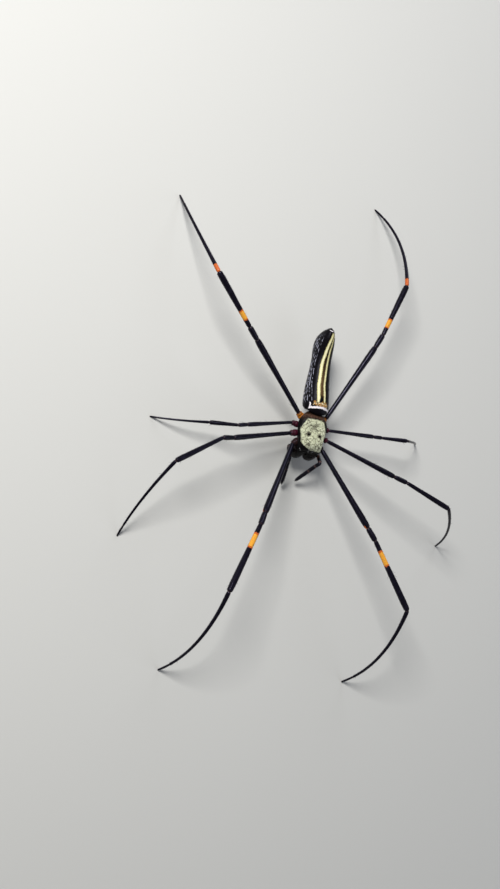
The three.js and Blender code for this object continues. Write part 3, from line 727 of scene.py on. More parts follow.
def eye_bead(name, side, place):
    """A lathed bead: the collar's foot, its rim, and the dome of the lens."""
    centre = np.array(place) * (side, 1, 1)
    out = unit(centre - HEAD_MIDDLE)
    centre[2] += MARGIN_HEIGHT
    dome = np.linspace(DOME_FROM, DOME_TO, DOME_ROWS)
    profile = EYE_COLLAR + [(EYE_RADIUS * 0.97 * math.sin(a) - 0.03, EYE_RADIUS * 0.94 * abs(math.cos(a)))
                            for a in dome]
    rows = np.array([ring_points(on_body(centre + out * lift), turned_with_body(out), EYE_SIDE_WAY,
                                 max(radius, EYE_PINHOLE), EYE_COLUMNS) for lift, radius in profile])
    flat = np.stack(np.broadcast_arrays(np.arange(EYE_COLUMNS + 1) * 0.1, np.array(profile)[:, 1:]), -1)
    return closed_skin(name, rows, flat)


eye_lens = eye_finish()
for eye, place in EYES.items():
    for word, side in SIDES.items():
        dress(eye_bead(eye + "_" + word + "_bead", side, place), eye_lens, "eye_lens", eye + "_" + word)

# Two stout jaws hang under the brow, smooth black ovals with a knob at the root on the outer side
# and a groove at the tip, where the fang folds between two rows of teeth.
JAW = {"root": (2.3, -5.9, 11.2), "tip": (2.35, -8.0, 3.7), "half_width": 2.08, "half_depth": 1.75}
JAW_INSET, JAW_COLUMNS = 0.02, 56
JAW_SWELL = [(0, 0.72), (0.12, 0.9), (0.35, 1.0), (0.6, 0.99), (0.8, 0.88), (0.92, 0.66), (1, 0.36)]
JAW_BULGE = 0.25
KNOB, KNOB_WIDTH, KNOB_HEIGHT = (3.65, -6.3, 9.9), 0.6, 0.12
FORWARD = np.array([0.0, -1.0, 0.0])
FANG_LENGTH, FANG_RADIUS, FANG_DROP, FANG_ROWS = 2.9, 0.48, 0.5, 30
SOCKET_RADIUS = FANG_RADIUS + 0.27
TEETH_AT, TEETH_ASIDE, TEETH_UP = (4, 6, 8), 0.62, 0.62
TOOTH_ROOT, TOOTH_TIP, TOOTH_LENGTH = 0.17, 0.03, 0.5


def sided(side, point):
    return on_body(np.array([side * point[0], point[1], point[2]]))


def fang_path(side, count):
    x, y, z = JAW["tip"]
    return bow(sided(side, (x + 0.55, y + 0.1, z + 0.75)), sided(side, (x + 0.35, y + 0.35, z - FANG_DROP)),
               sided(side, (x + 0.9 - FANG_LENGTH * 0.55, y + 1.5, z - FANG_DROP + 0.15)), count)


def jaw_skin(side, name):
    root, tip = sided(side, JAW["root"]), sided(side, JAW["tip"])
    share = np.concatenate([np.linspace(0, 0.9, 46), np.linspace(0.91, 1, 14)])
    size = through(JAW_SWELL, share)[:, :, None]
    way = unit(tip - root)
    front = unit(FORWARD - way * (way @ FORWARD))
    turn = once_round(JAW_COLUMNS)[:, None]
    centre = root + share[:, None] * (tip - root) + FORWARD * (np.sin(share * math.pi) * JAW_BULGE)[:, None]
    rows = (centre[:, None] + np.cross(front, way) * np.sin(turn) * (JAW["half_width"] * size - JAW_INSET)
            + front * np.cos(turn) * (JAW["half_depth"] * size - JAW_INSET))
    # the knob at the root, low on the outer side
    near = bell(np.linalg.norm(rows - sided(side, KNOB), axis=2, keepdims=True), KNOB_WIDTH)
    rows = rows + unit(rows - centre[:, None]) * near * KNOB_HEIGHT
    # the hollow that the fang stands in
    hollow = fang_path(side, 3)[0]
    away = np.linalg.norm(rows - hollow, axis=2, keepdims=True)
    rows = np.where(away < SOCKET_RADIUS, hollow + (rows - hollow) / away * SOCKET_RADIUS, rows)
    around = np.linspace(-math.pi, math.pi, JAW_COLUMNS + 1) * JAW["half_width"]
    flat = np.stack(np.meshgrid(around, share * np.linalg.norm(tip - root)), -1)
    return closed_skin(name, rows, flat, coat=ease(0.15, 0.5, share), lie=way)


def jaw_teeth(side):
    """Two rows of blunt teeth beside the folded fang."""
    line = fang_path(side, 12)
    teeth = []
    for shift in (-1, 1):
        for k in TEETH_AT:
            root = line[k] + turned_with_body([0, shift * TEETH_ASIDE, TEETH_UP])
            path = bow(root, root + turned_with_body([0, 0, -TOOTH_LENGTH / 2]),
                       root + turned_with_body([0, -shift * 0.08, -TOOTH_LENGTH]), 7)
            teeth.append(spike("tooth", path, np.linspace(TOOTH_ROOT, TOOTH_TIP, 7), count=10))
    return teeth


def fang_finish():
    finish = Finish("fang_shell")
    finish.colour((0.006, 0.004, 0.005, 1), (finish.along.fade(1.4, 3.4), (0.09, 0.012, 0.006, 1)))
    finish.relief((finish.grain(0.2, 2.0, stretch=(3.0, 0.6, 1.0)), 0.008))
    return finish.set(Roughness=finish.grain(0.4) * 0.1 + 0.08, Coat_Weight=0.6, Coat_Roughness=0.06)


fang_shell = fang_finish()
bristle = shell_finish("black_bristle", (0.005, 0.004, 0.006, 1), (0.014, 0.010, 0.014, 1), roughness=0.3,
                       tint=(0.8, 0.78, 1.0, 1), pores=0.05)
share = np.linspace(0, 1, FANG_ROWS)
fang_radii = FANG_RADIUS * (1 - 0.93 * share**1.15 + 0.10 * bell(share - 0.16, 0.05)) - 0.01
for word, side in SIDES.items():
    jaw = jaw_skin(side, "jaw_" + word + "_shell")
    dress(jaw, black_shell, "black_shell", "jaw_" + word)
    grow_coat("jaw_" + word + "_bristles", jaw, bristle, "black_shell", Hairs_per_mm2=2.2, Hair_length_mm=0.6,
              Hair_radius_mm=0.02, Hair_lean=0.9, Seed=11 + side)
    dress(join_pieces("jaw_" + word + "_teeth", jaw_teeth(side)), fang_shell, "black_shell")
    fang = spike("fang_" + word + "_horn", fang_path(side, FANG_ROWS), fang_radii, count=20)
    dress(fang, fang_shell, "black_shell", "fang_" + word)

# The breastplate is a heart-shaped black plate under the leg roots, with a low boss beside each
# leg. In front of it hang the lip and, beside the lip, the two pads that the feelers grow from.
STERNUM_MIDDLE, STERNUM_THICKNESS = 6.65, 0.36
STERNUM_ROWS, STERNUM_COLUMNS, EDGE_POWER = 110, 72, 0.6
# along the body, from the lip's front to the rear point, and the half width there
STERNUM_OUTLINE = [
    (-5.08, 0.9), (-4.7, 1.05), (-4.2, 1.18), (-3.9, 1.7), (-3.5, 2.35), (-2.6, 2.8), (-1.2, 2.86),
    (0.4, 2.74), (2.0, 2.2), (3.2, 1.3), (4.1, 0.5), (4.57, 0.12),
]
BOSSES, BOSS_ASIDE, BOSS_WIDTH, BOSS_HEIGHT = (-2.6, -0.7, 1.1), 2.0, math.sqrt(0.22), 0.10
SEAM_AT, SEAM_WIDTH, SEAM_DEPTH = -4.05, 0.12, 0.14


def sternum_skin():
    along = np.linspace(STERNUM_OUTLINE[0][0], STERNUM_OUTLINE[-1][0], STERNUM_ROWS)
    half = through(STERNUM_OUTLINE, along)
    turn = once_round(STERNUM_COLUMNS)
    lift, across = np.sin(turn), np.cos(turn) * half
    place = np.broadcast_to(along[:, None], across.shape)
    boss = sum(bell(np.hypot(np.abs(across) - BOSS_ASIDE, place - y), BOSS_WIDTH) for y in BOSSES)
    thick = STERNUM_THICKNESS * np.clip(half, 0.3, 1)
    seam = bell(place - SEAM_AT, SEAM_WIDTH)
    swell = np.where(lift < 0, thick + BOSS_HEIGHT * boss * np.abs(lift) - SEAM_DEPTH * seam, -thick)
    rows = np.stack([across, place, STERNUM_MIDDLE - np.abs(lift) ** EDGE_POWER * swell], -1)
    return closed_skin("sternum_plate", on_body(rows), np.stack([rejoined(across), rejoined(place)], -1),
                       coat=np.broadcast_to((lift < -0.2) * 1.0, across.shape),
                       lie=turned_with_body((0.0, -0.4, -1.0)))


sternum_plate = sternum_skin()
dress(sternum_plate, black_shell, "black_shell", "sternum")
grow_coat("sternum_bristles", sternum_plate, bristle, "black_shell", Hairs_per_mm2=5.0, Hair_length_mm=0.35,
          Hair_radius_mm=0.018, Hair_lean=0.8, Seed=17)

# The waist is a short tube of brown shell between the carapace and the abdomen, ringed by small
# plates so that it can bend.
WAIST = {"radius": 0.69, "height": 9.0, "from": 3.9, "to": 8.3}
WAIST_RING, WAIST_RING_TURNS, WAIST_ROWS = 0.04, 9.0, 60
along = np.linspace(WAIST["from"], WAIST["to"], WAIST_ROWS)
waist = spike("waist_rings", on_body([(0, y, WAIST["height"]) for y in along]),
              WAIST["radius"] + WAIST_RING * np.cos((along - WAIST["from"]) * WAIST_RING_TURNS), count=28)
dress(waist, joint_skin, "hip_skin", "waist")

# The abdomen is a long cylinder of taut satin skin, black, with two pale yellow stripes down its
# back, a white and golden band across its shoulders and rows of thin broken bluish lines along its
# flanks. It is lofted through its stations and marked in millimetres across and along the skin.
ABDOMEN_FRONT = 6.7
WAIST_LEVEL, LOWEST_MIDDLE = 9.9, 0.3
# along from the front, half width, top, bottom
ABDOMEN_STATIONS = [
    (0.0, 3.4, 12.9, 9.1), (0.4, 4.1, 13.6, 8.0), (1.3, 4.35, 14.3, 6.9), (2.8, 4.3, 14.7, 6.1),
    (5.0, 4.15, 14.6, 5.8), (8.0, 3.9, 14.1, 5.9), (11.0, 3.6, 13.6, 6.2), (14.0, 3.35, 13.3, 6.4),
    (17.0, 3.2, 13.5, 6.3), (19.5, 3.25, 14.0, 5.9), (21.8, 3.15, 14.8, 6.2), (23.6, 2.8, 15.3, 7.3),
    (25.0, 2.2, 15.4, 8.9), (26.0, 1.45, 15.1, 10.7), (26.5, 0.7, 14.6, 12.4),
]
ABDOMEN_COLUMNS = 160
ABDOMEN_NOSE = (230, (0.2, 0.42, 0.62, 0.8, 0.92, 0.98), 0.25, 0.25)
ABDOMEN_INSET = 0.05
# how far the back reaches forward over the waist and lies to the spider's left, and where both end
OVERHANG, ASIDE, OVERHANG_END = 2.1, 0.5, 10.0
REAR_CLEARANCE, SLOPE_FROM, SLOPE_HALF_WIDTH = 0.2, 2.3, 4.0
MUSCLE_PITS, PIT_ASIDE = (4.6, 7.6, 11.0, 14.6), 0.55
FURROW_AT, LUNG_AT = 4.3, 3.2
# along, and how far the middle between the two stripes lies off the back's middle
STRIPE_MIDDLE = [
    (0, 0.1), (2.7, 0.15), (5.0, -0.05), (7.5, -0.25), (11, -0.05), (15, 0.05), (19, 0.35), (22, 0.65),
    (25, 0.95), (26.5, 0.95),
]


def abdomen_skin():
    place, size, half_width, top, bottom = nosed(ABDOMEN_STATIONS, *ABDOMEN_NOSE)
    middle = np.minimum(np.maximum(WAIST_LEVEL, bottom + LOWEST_MIDDLE * (top - bottom)), top)
    # once round from the belly's middle, by the spider's left side, over the back
    turn = np.linspace(-math.pi / 2, 1.5 * math.pi, ABDOMEN_COLUMNS, endpoint=False)
    lift = np.sin(turn)
    rise = np.where(lift > 0, top - middle, middle - bottom) - ABDOMEN_INSET
    across = np.cos(turn) * (half_width - ABDOMEN_INSET) * size
    centre = np.where(size < 1, (top + bottom) / 2, middle)
    height = centre + (middle + lift * rise - centre) * size
    fade = np.clip(1 - place / OVERHANG_END, 0, 1) ** 2
    across = across + ASIDE * fade
    spot = place - OVERHANG * fade * np.clip(lift * size, 0, 1) ** 0.6
    # the front face keeps clear of the carapace's rear slope
    slope = [station for station in CARAPACE_STATIONS if station[0] >= SLOPE_FROM][::-1]
    over_plate = height - MARGIN_HEIGHT - REAR_CLEARANCE
    rear_of_plate = np.interp(over_plate, [s[2] for s in slope], [s[0] for s in slope])
    near = (over_plate < slope[-1][2]) & (np.abs(across) < SLOPE_HALF_WIDTH)
    spot = np.where(near, np.maximum(spot, rear_of_plate + REAR_CLEARANCE - ABDOMEN_FRONT), spot)
    rows = np.stack([across, ABDOMEN_FRONT + spot, height], -1)
    # arc length from the middle of the back, positive to the spider's left
    steps = np.linalg.norm(np.diff(rejoined(rows), axis=1), axis=2)
    arc = np.concatenate([np.zeros((len(rows), 1)), np.cumsum(steps, 1)], 1)
    top_at = ABDOMEN_COLUMNS // 2
    from_back = arc[:, top_at:top_at + 1] - arc
    off = from_back[:, :-1]
    belly = np.abs(off) / np.abs(from_back[:, :1])
    # pits where muscles hold the back, folds of the flanks, and the furrow across the belly
    pits = sum(bell(np.abs(off) - PIT_ASIDE, 0.16) * bell(spot - y, 0.3) for y in MUSCLE_PITS)
    folds = 0.03 * np.sin(off * 5.5 + 0.6 * np.sin(spot * 0.9))
    folds = folds * ease(0.3, 0.45, belly) * ease(1.0, 0.8, belly)
    furrow = bell(spot - FURROW_AT - 4 * (belly - 1) ** 2, 0.16) * ease(0.66, 0.8, belly)
    lung = bell(belly - 0.84, 0.07) * bell(spot - LUNG_AT, 0.75)
    press = (0.10 * pits + 0.22 * furrow - 0.12 * lung - folds) * (size > 0.99)
    inwards = np.stack(np.broadcast_arrays(0.0, ABDOMEN_FRONT + spot, centre), -1) - rows
    inwards = inwards / np.maximum(np.linalg.norm(inwards, axis=2, keepdims=True), 1e-6)
    shift = through(STRIPE_MIDDLE, spot.ravel()).reshape(spot.shape)
    lie = np.stack(np.broadcast_arrays(across * 0.02, 1.0, -0.25 * (lift < 0.5)), -1)
    return closed_skin("abdomen_skin", on_body(rows + inwards * press[..., None]),
                       np.stack([from_back - rejoined(shift), rejoined(spot)], -1),
                       coat=ease(-1.0, 0.4, spot), lie=turned_with_body(lie), belly=belly)


STRIPE_YELLOW = (0.56, 0.51, 0.24, 1)
STRIPE_PALE = (0.74, 0.73, 0.53, 1)
SHOULDER_WHITE = (0.76, 0.72, 0.75, 1)
SHOULDER_GOLD = (0.36, 0.17, 0.03, 1)
BACK_BROWN = (0.06, 0.034, 0.016, 1)
BACK_TAN = (0.22, 0.13, 0.05, 1)
FLANK_BLUE = (0.42, 0.43, 0.54, 1)
SATIN_BLACK = (0.003, 0.0025, 0.0035, 1)
STRIPE_APART, STRIPE_HALF_WIDTH = 1.05, 0.34
LINE_PITCH = 0.85


def abdomen_colour(finish):
    across, along = finish.across, finish.along
    off = abs(across)
    ragged = finish.grain(0.28, 3.0)
    wander = finish.grain(1.6, 1.0).sway(0.5)
    half_apart = (along.fade(4.0, 9.5) * -0.12 + along.fade(14.0, 20.0) * -0.28
                  + along.fade(20.0, 25.0) * -0.3 + STRIPE_APART)
    # the left stripe is the wider one, and both thin out towards the tip
    half_wide = ((across * -1.0).fade(-0.2, 0.2) * 0.16 + along.fade(6.0, 18.0) * -0.06
                 + along.fade(19.0, 24.0) * -0.1 + STRIPE_HALF_WIDTH)
    from_stripe = abs(off - half_apart) - half_wide + ragged.sway(0.8)
    run = along.fade(1.5, 2.4) * along.fade(25.2, 24.4)
    stripe = from_stripe.fade(0.1, -0.06) * run
    heart = from_stripe.fade(-0.14, -0.34) * run
    # the brown middle between the stripes, and two dark wedges at the shoulders
    middle = (off - half_apart).fade(0.0, -0.3) * along.fade(20.0, 9.0) * run
    tan = (off + ragged.sway(0.5)).fade(0.16, 0.02) * along.fade(14.0, 6.0) * along.fade(3.0, 4.6)
    wedge = (off - along.fade(5.4, 2.0) * 0.8).fade(0.12, -0.1) * along.fade(1.3, 1.8) * along.fade(5.2, 3.4)
    # the golden band, patchy, with pale lines in it
    curl = finish.grain(0.75, 2.0)
    gold_lines = abs(curl - 0.5).fade(0.045, 0.02)
    gold = ((abs(across + wander - 0.1) + ragged.sway(1.6)).fade(2.9, 2.5)
            * (along + curl.sway(2.2) + ragged.sway(0.8)).within(0.75, 2.0))
    gold = gold * finish.grain(0.42, 3.0).fade(0.4, 0.47)
    # the white band thins towards the right flank, where it turns back as a short tick
    reach = (across + ragged.sway(0.5)).fade(-4.2, -3.8) * across.fade(5.4, 4.8)
    band_from = along + ragged.sway(0.6) + wander * 0.5 + abs(across - 0.5) * 0.10
    whole = (ragged + abs(across - 1.6) * 0.5).fade(0.35, 0.55)
    white = (band_from - 0.46).within(-0.34, 0.3) * reach * whole
    tick = ((abs(across + along * 0.12 + 3.6) + ragged.sway(0.7)).fade(0.32, 0.2)
            * (along + ragged.sway(0.8)).within(0.3, 1.6))
    white = white.either(tick)
    # broken bluish lines along the flanks, and a few white spots low at the front
    lines = (off + wander * 0.5).math("PINGPONG", LINE_PITCH / 2).fade(0.15, 0.08)
    broken = finish.grain(0.6, 2.0, stretch=(1.6, 0.55, 1.0)).fade(0.48, 0.54)
    flank = off.fade(2.9, 3.7) * off.fade(9.6, 8.4) * along.fade(1.2, 2.6) * along.fade(25.0, 22.0)
    spots = finish.cells(1.3).fade(0.34, 0.2) * finish.grain(1.9, 1.0).fade(0.46, 0.58) * off.fade(6.2, 7.2)
    spots = spots * off.fade(10.6, 9.4) * along.fade(12.0, 8.0)
    tip_bar = (along + across * 0.35 + ragged.sway(0.2)).within(25.0, 25.22) * across.within(-1.8, -0.6)
    belly_band = finish.fact("belly").fade(0.62, 0.7) * (along + ragged.sway(0.5)).within(5.0, 5.6)
    finish.colour(
        SATIN_BLACK,
        (middle * 0.85, BACK_BROWN), (tan * 0.7, BACK_TAN),
        (stripe, STRIPE_YELLOW), (heart * 0.8, STRIPE_PALE),
        (wedge, SATIN_BLACK),
        (gold, SHOULDER_GOLD), (gold * gold_lines, STRIPE_PALE),
        (white, SHOULDER_WHITE),
        (lines * broken * flank, FLANK_BLUE), (spots * 0.8, SHOULDER_WHITE),
        (tip_bar, SHOULDER_WHITE), (belly_band * 0.8, STRIPE_YELLOW),
    )
    return stripe.either(white).either(gold)


def abdomen_finish():
    finish = Finish("abdomen_satin")
    pale = abdomen_colour(finish)
    wrinkles = finish.grain(0.5, 3.0, stretch=(1.6, 0.5, 1.0))
    finish.relief((wrinkles, 0.03), (finish.cells(0.07), 0.006), (finish.grain(0.16, 2.0), 0.01))
    return finish.set(Roughness=pale * 0.2 + finish.grain(0.35) * 0.2 + 0.24, Specular_IOR_Level=0.08,
                      Specular_Tint=(0.82, 0.82, 1.0, 1))


def abdomen_hair_finish():
    finish = Finish("abdomen_hair")
    abdomen_colour(finish)
    finish.relief((finish.grain(0.05), 0.003))
    return finish.set(Roughness=0.5, Specular_Tint=(0.85, 0.85, 1.0, 1))


abdomen = abdomen_skin()
dress(abdomen, abdomen_finish(), "abdomen_skin", "abdomen")
grow_coat("abdomen_coat", abdomen, abdomen_hair_finish(), "abdomen_skin", Hairs_per_mm2=7.0,
          Hair_length_mm=0.34, Hair_radius_mm=0.018, Hair_lean=1.15, Seed=23)

# The spinnerets stand in a low ringed mound under the abdomen: two front, two rear and two small
# middle ones, each a jointed cone of black shell that ends in a soft brown tip.
SPINNERETS = np.array([0.0, ABDOMEN_FRONT + 21.6, 6.3])
MOUND_RADIUS, MOUND_ROWS, CONE_ROWS = 1.42, 22, 26
# root across, along and up from the mound's middle, then the same of the tip, and the radius
SPINNERET_CONES = [
    ((0.62, -0.3, 0.3), (0.4, 0.7, -2.87), 0.62), ((0.6, 1.0, 0.3), (0.42, 1.9, -2.47), 0.55),
    ((0.3, 0.4, 0.3), (0.22, 1.2, -2.17), 0.36),
]


def round_end(past, width, least=0.02):
    """One up to where the end begins, and rounded off in the width after it."""
    return np.sqrt(np.clip(1 - (past / width).clip(0, 1) ** 2, least, 1))


def straight_spike(name, root, tip, radii, count, coat):
    """A round piece in a straight line from its root to its tip, with its bristles laid the same way."""
    root, tip = on_body(SPINNERETS + root), on_body(SPINNERETS + tip)
    path = root + np.linspace(0, 1, len(radii))[:, None] * (tip - root)
    return spike(name, path, radii, count=count, coat=coat, lie=unit(tip - root))


def spinneret_cluster():
    share = np.linspace(0, 1, MOUND_ROWS)
    radii = MOUND_RADIUS * (1 - 0.6 * share**2) * (1 + 0.04 * np.cos(share * 22))
    radii = radii * np.sqrt(np.clip(1 - share**6, 0.02, 1)) - 0.03
    parts = [straight_spike("mound", (0, 0.25, 0.5), (0, 0.9, -1.5), radii, 32, np.full(MOUND_ROWS, 0.4))]
    share = np.linspace(0, 1, CONE_ROWS)
    rounding = round_end(share - 0.86, 0.145)
    for root, tip, radius in SPINNERET_CONES:
        radii = radius * (1 - 0.52 * share - 0.08 * bell(share - 0.6, 0.035)) * rounding - 0.01
        for mirror in ((-1, 1, 1), (1, 1, 1)):
            parts.append(straight_spike("spinneret", np.multiply(root, mirror), np.multiply(tip, mirror),
                                        radii, 20, ease(0.35, 0.7, share)))
    return join_pieces("spinneret_cluster", parts)


def spinneret_finish():
    finish = Finish("spinneret_shell")
    finish.colour((0.010, 0.007, 0.007, 1), (finish.along.fade(1.5, 2.5), (0.10, 0.05, 0.03, 1)))
    finish.relief((finish.grain(0.1, 3.0), 0.02))
    return finish.set(Roughness=finish.grain(0.3) * 0.2 + 0.3)


spinnerets = spinneret_cluster()
dress(spinnerets, spinneret_finish(), "black_shell", "spinnerets")
grow_coat("spinneret_bristles", spinnerets, bristle, "black_shell", Hairs_per_mm2=16.0, Hair_length_mm=0.45,
          Hair_radius_mm=0.016, Hair_lean=0.9, Seed=29)

# The feelers are two short legs beside the jaws, in black shell that turns pinkish brown towards the
# root, jointed in five, bristly at the tip and ending in small claws.
FEELER_RADIUS = 0.62
# what one feeler runs through from its root, where its elbow is, and both tips
FEELER_STOPS = [(2.0, -4.75, 6.35), (4.9, -5.75, 6.1), (5.25, -8.05, 7.9)]
FEELER_ELBOW = (5.35, -9.65, 9.15)
FEELER_TIPS = {"right": (-4.1, -18.0, 2.6), "left": (0.6, -16.0, 2.0)}
# share of the length and share of the radius
FEELER_RADII = [
    (0, 0.95), (0.08, 1.2), (0.16, 0.95), (0.3, 1.0), (0.45, 1.05), (0.6, 1.08), (0.85, 1.0), (0.96, 0.78),
    (1, 0.4),
]
FEELER_JOINTS = (0.14, 0.2, 0.42, 0.53, 0.68)
FEELER_PINK, FEELER_NECK = (0.24, 0.11, 0.08, 1), (0.10, 0.05, 0.035, 1)
SKIN_INSET = 0.03
FEELER_STEP, FEELER_SOFTNESS = 0.06, 0.2
CLAW_THICK, CLAW_TIP, CLAW_ROWS = 0.075, 0.012, 12
# how far aside each claw stands and how long it is
CLAWS = ((-0.09, 1.0), (0.09, 1.0), (0.0, 0.6))
UP = np.array([0.0, 0.0, 1.0])


def smooth_path(corners, step, softness):
    """Points every step along a line through corners, with the corners rounded off."""
    corners = np.asarray(corners, float)
    lengths = lengths_along(corners)
    at = np.arange(0, lengths[-1], step)
    line = np.stack([np.interp(at, lengths, corners[:, k]) for k in range(3)], 1)
    reach = int(3 * softness / step)
    weight = np.exp(-0.5 * (np.arange(-reach, reach + 1) * step / softness) ** 2)
    start, end = line[0] * 2 - line[reach:0:-1], line[-1] * 2 - line[-2:-reach - 2:-1]
    long = np.concatenate([start, line, end])
    return at, np.stack([np.convolve(long[:, k], weight / weight.sum(), "valid") for k in range(3)], 1)


def curve_through(points, count):
    """A centripetal curve through points, as the solids' feelers follow."""
    points = [2 * points[0] - points[1]] + points + [2 * points[-1] - points[-2]]
    line = []
    for k in range(len(points) - 3):
        ends = points[k:k + 4]
        knots = np.cumsum([0.0] + [np.linalg.norm(b - a) ** 0.5 for a, b in zip(ends, ends[1:])])
        for t in np.linspace(knots[1], knots[2], count, endpoint=False):
            level = ends
            for first, step in ((0, 1), (0, 2), (1, 1)):
                spans = ((knots[first + i], knots[first + i + step]) for i in range(len(level) - 1))
                level = [(a * (high - t) + b * (t - low)) / (high - low)
                         for a, b, (low, high) in zip(level, level[1:], spans)]
            line.append(level[0])
    return line + [points[-2]]


def claw_tuft(name, tip, way, size):
    """Two bowed claws side by side and a smaller one under them."""
    way = unit(way)
    side = np.cross(way, UP)
    claws = []
    for aside, length in CLAWS:
        root = tip + (side * aside - way * 0.12 + UP * 0.05) * size
        end = root + (way * 0.55 * length + side * aside * 0.9 - UP * 0.10) * size
        knuckle = root + (way * 0.38 * length + side * aside * 0.6 + UP * 0.20 * length) * size
        path = bow(root, knuckle, end, CLAW_ROWS)
        path[:, 2] = np.maximum(path[:, 2], 0.05)
        rows = spike_rows(path, np.linspace(CLAW_THICK, CLAW_TIP, CLAW_ROWS) * size, side, 8)
        rows[..., 2] = np.maximum(rows[..., 2], 0)
        claws.append(closed_skin("claw", rows, measured(rows)))
    dress(join_pieces(name, claws), fang_shell, "black_shell")


def feeler_finish(side, word):
    finish = Finish("feeler_shell_" + word)
    cloud = finish.grain(0.7, 3.0)
    near = (finish.along + cloud.sway(1.2)).fade(6.6, 5.6) * (finish.across * side).fade(-0.5, 0.2)
    finish.colour((0.004, 0.0035, 0.006, 1), (near, FEELER_PINK), (finish.fact("neck") * 0.8, FEELER_NECK))
    finish.relief((finish.cells(0.14), 0.005), (finish.grain(0.3, 2.0), 0.01))
    return finish.set(Roughness=finish.grain(0.25) * 0.2 + 0.2, Specular_Tint=(0.8, 0.78, 1.0, 1),
                      Specular_IOR_Level=0.22)


def feeler_skin(side, word):
    tip, elbow = on_body(FEELER_TIPS[word]), sided(side, FEELER_ELBOW)
    stops = [sided(side, stop) for stop in FEELER_STOPS] + [elbow, elbow * 0.8 + tip * 0.2, tip]
    at, line = smooth_path(curve_through(stops, 24), FEELER_STEP, FEELER_SOFTNESS)
    share = at / at[-1]
    neck = sum(bell((share - joint) * at[-1], 0.14) for joint in FEELER_JOINTS)
    flare = sum(bell((share - joint) * at[-1] + 0.35, 0.25) for joint in FEELER_JOINTS)
    radii = FEELER_RADIUS * through(FEELER_RADII, share)[:, 0] - SKIN_INSET
    radii = radii * (1 - 0.2 * neck + 0.03 * flare) * round_end(share - 0.985, 0.0155)
    coat = (0.25 + 0.75 * ease(0.5, 0.85, share) - 0.8 * neck).clip(0, 1)
    feeler = spike("feeler_" + word + "_skin", line, radii, count=24, side_way=(0.0, 0.2, 1.0),
                   coat=coat, lie=unit(np.gradient(line, axis=0)), neck=neck)
    claw_tuft("feeler_" + word + "_claw", line[-1], line[-1] - line[-12], 0.7)
    return feeler


for word, side in SIDES.items():
    feeler = feeler_skin(side, word)
    dress(feeler, feeler_finish(side, word), "leg_shell", "feeler_" + word)
    grow_coat("feeler_" + word + "_bristles", feeler, bristle, "leg_shell", Hairs_per_mm2=16.0,
              Hair_length_mm=0.55, Hair_radius_mm=0.02, Hair_lean=0.85, Seed=31 + side)

# The legs: eight jointed tubes of black shell with a violet sheen. Each has a hip of two pieces, a
# long thigh, a short knee piece, a shin and a thin foot of two pieces that ends in three claws. The
# skin narrows at each joint, where it is soft and brown. The first and last legs are banded orange.
FOOT_HEIGHT = -0.25
LEG_PARTS = ("coxa", "femur", "patella", "tibia", "foot")
# each pair's root and hip across and along, the lengths from thigh to foot, and how stout it is
LEG_PAIRS = {
    1: ((2.5, -3.3), (5.2, -5.4), 29, 4.8, 24.1, 37.5, 1.0),
    2: ((2.9, -1.15), (6.6, -2.2), 25, 4.6, 17, 30, 0.85),
    3: ((2.9, 1.05), (6.6, 1.3), 17.5, 3.5, 9, 18.5, 0.7),
    4: ((2.3, 3.2), (4.9, 4.9), 29.5, 5, 19.5, 33.8, 0.98),
}
# share of a segment's length, radius on a leg of girth 1, for each part from the hip
LEG_RADII = [
    [(0, 0.85), (0.25, 1.15), (0.55, 1.25), (0.7, 1.12), (0.76, 0.98), (0.86, 1.08), (1, 0.92)],
    [(0, 0.72), (0.05, 0.78), (0.3, 0.82), (0.6, 0.94), (0.85, 1.08), (0.95, 1.06), (1, 0.85)],
    [(0, 0.8), (0.15, 0.9), (0.6, 0.97), (0.88, 0.92), (1, 0.74)],
    [(0, 0.72), (0.05, 0.78), (0.35, 0.86), (0.6, 0.99), (0.88, 1.05), (0.97, 0.95), (1, 0.76)],
    [(0, 0.68), (0.03, 0.72), (0.2, 0.61), (0.4, 0.54), (0.6, 0.49), (0.8, 0.45), (0.85, 0.45), (0.87, 0.38),
     (0.93, 0.4), (0.98, 0.35), (1, 0.29)],
]
TROCHANTER_FROM, TARSUS_FROM = 0.76, 0.86
LINE_STEP, RING_STEP, JOINT_STEP, TIP_STEP = 0.05, 0.5, 0.09, 0.08
BEND_SOFTNESS, JOINT_REACH, TIP_REACH, LEG_COLUMNS = 0.28, 0.9, 0.6, 20
CLAW_HEIGHT = 0.14
# the pair and the side, the foot on the floor, how far the leg's plane leans, how far the thigh and
# the knee piece rise over the line from hip to foot, in degrees, and how far the foot bows up and
# swings aside as a share of its length
LEG_STANCES = {
    "leg_1_right": (1, -1, (-38.6, -82.7), 9, 27, 30, 0.066, -0.064),
    "leg_1_left": (1, 1, (28.7, -78.6), -27, 30, 29, 0.094, 0.009),
    "leg_2_right": (2, -1, (-59.4, -45.1), 46, 33, 38, 0.05, 0),
    "leg_2_left": (2, 1, (59.7, -27.7), -10, 29, 34, 0.075, 0),
    "leg_3_right": (3, -1, (-55.8, -7.1), -19, 18, 19, 0.06, 0),
    "leg_3_left": (3, 1, (44.8, 5.9), 5, 15, 11, 0.06, 0),
    "leg_4_right": (4, -1, (-58.7, 64.1), -32, 24, 28, 0.06, 0),
    "leg_4_left": (4, 1, (13.9, 82.7), 42, 22, 19, 0.1, 0.026),
}


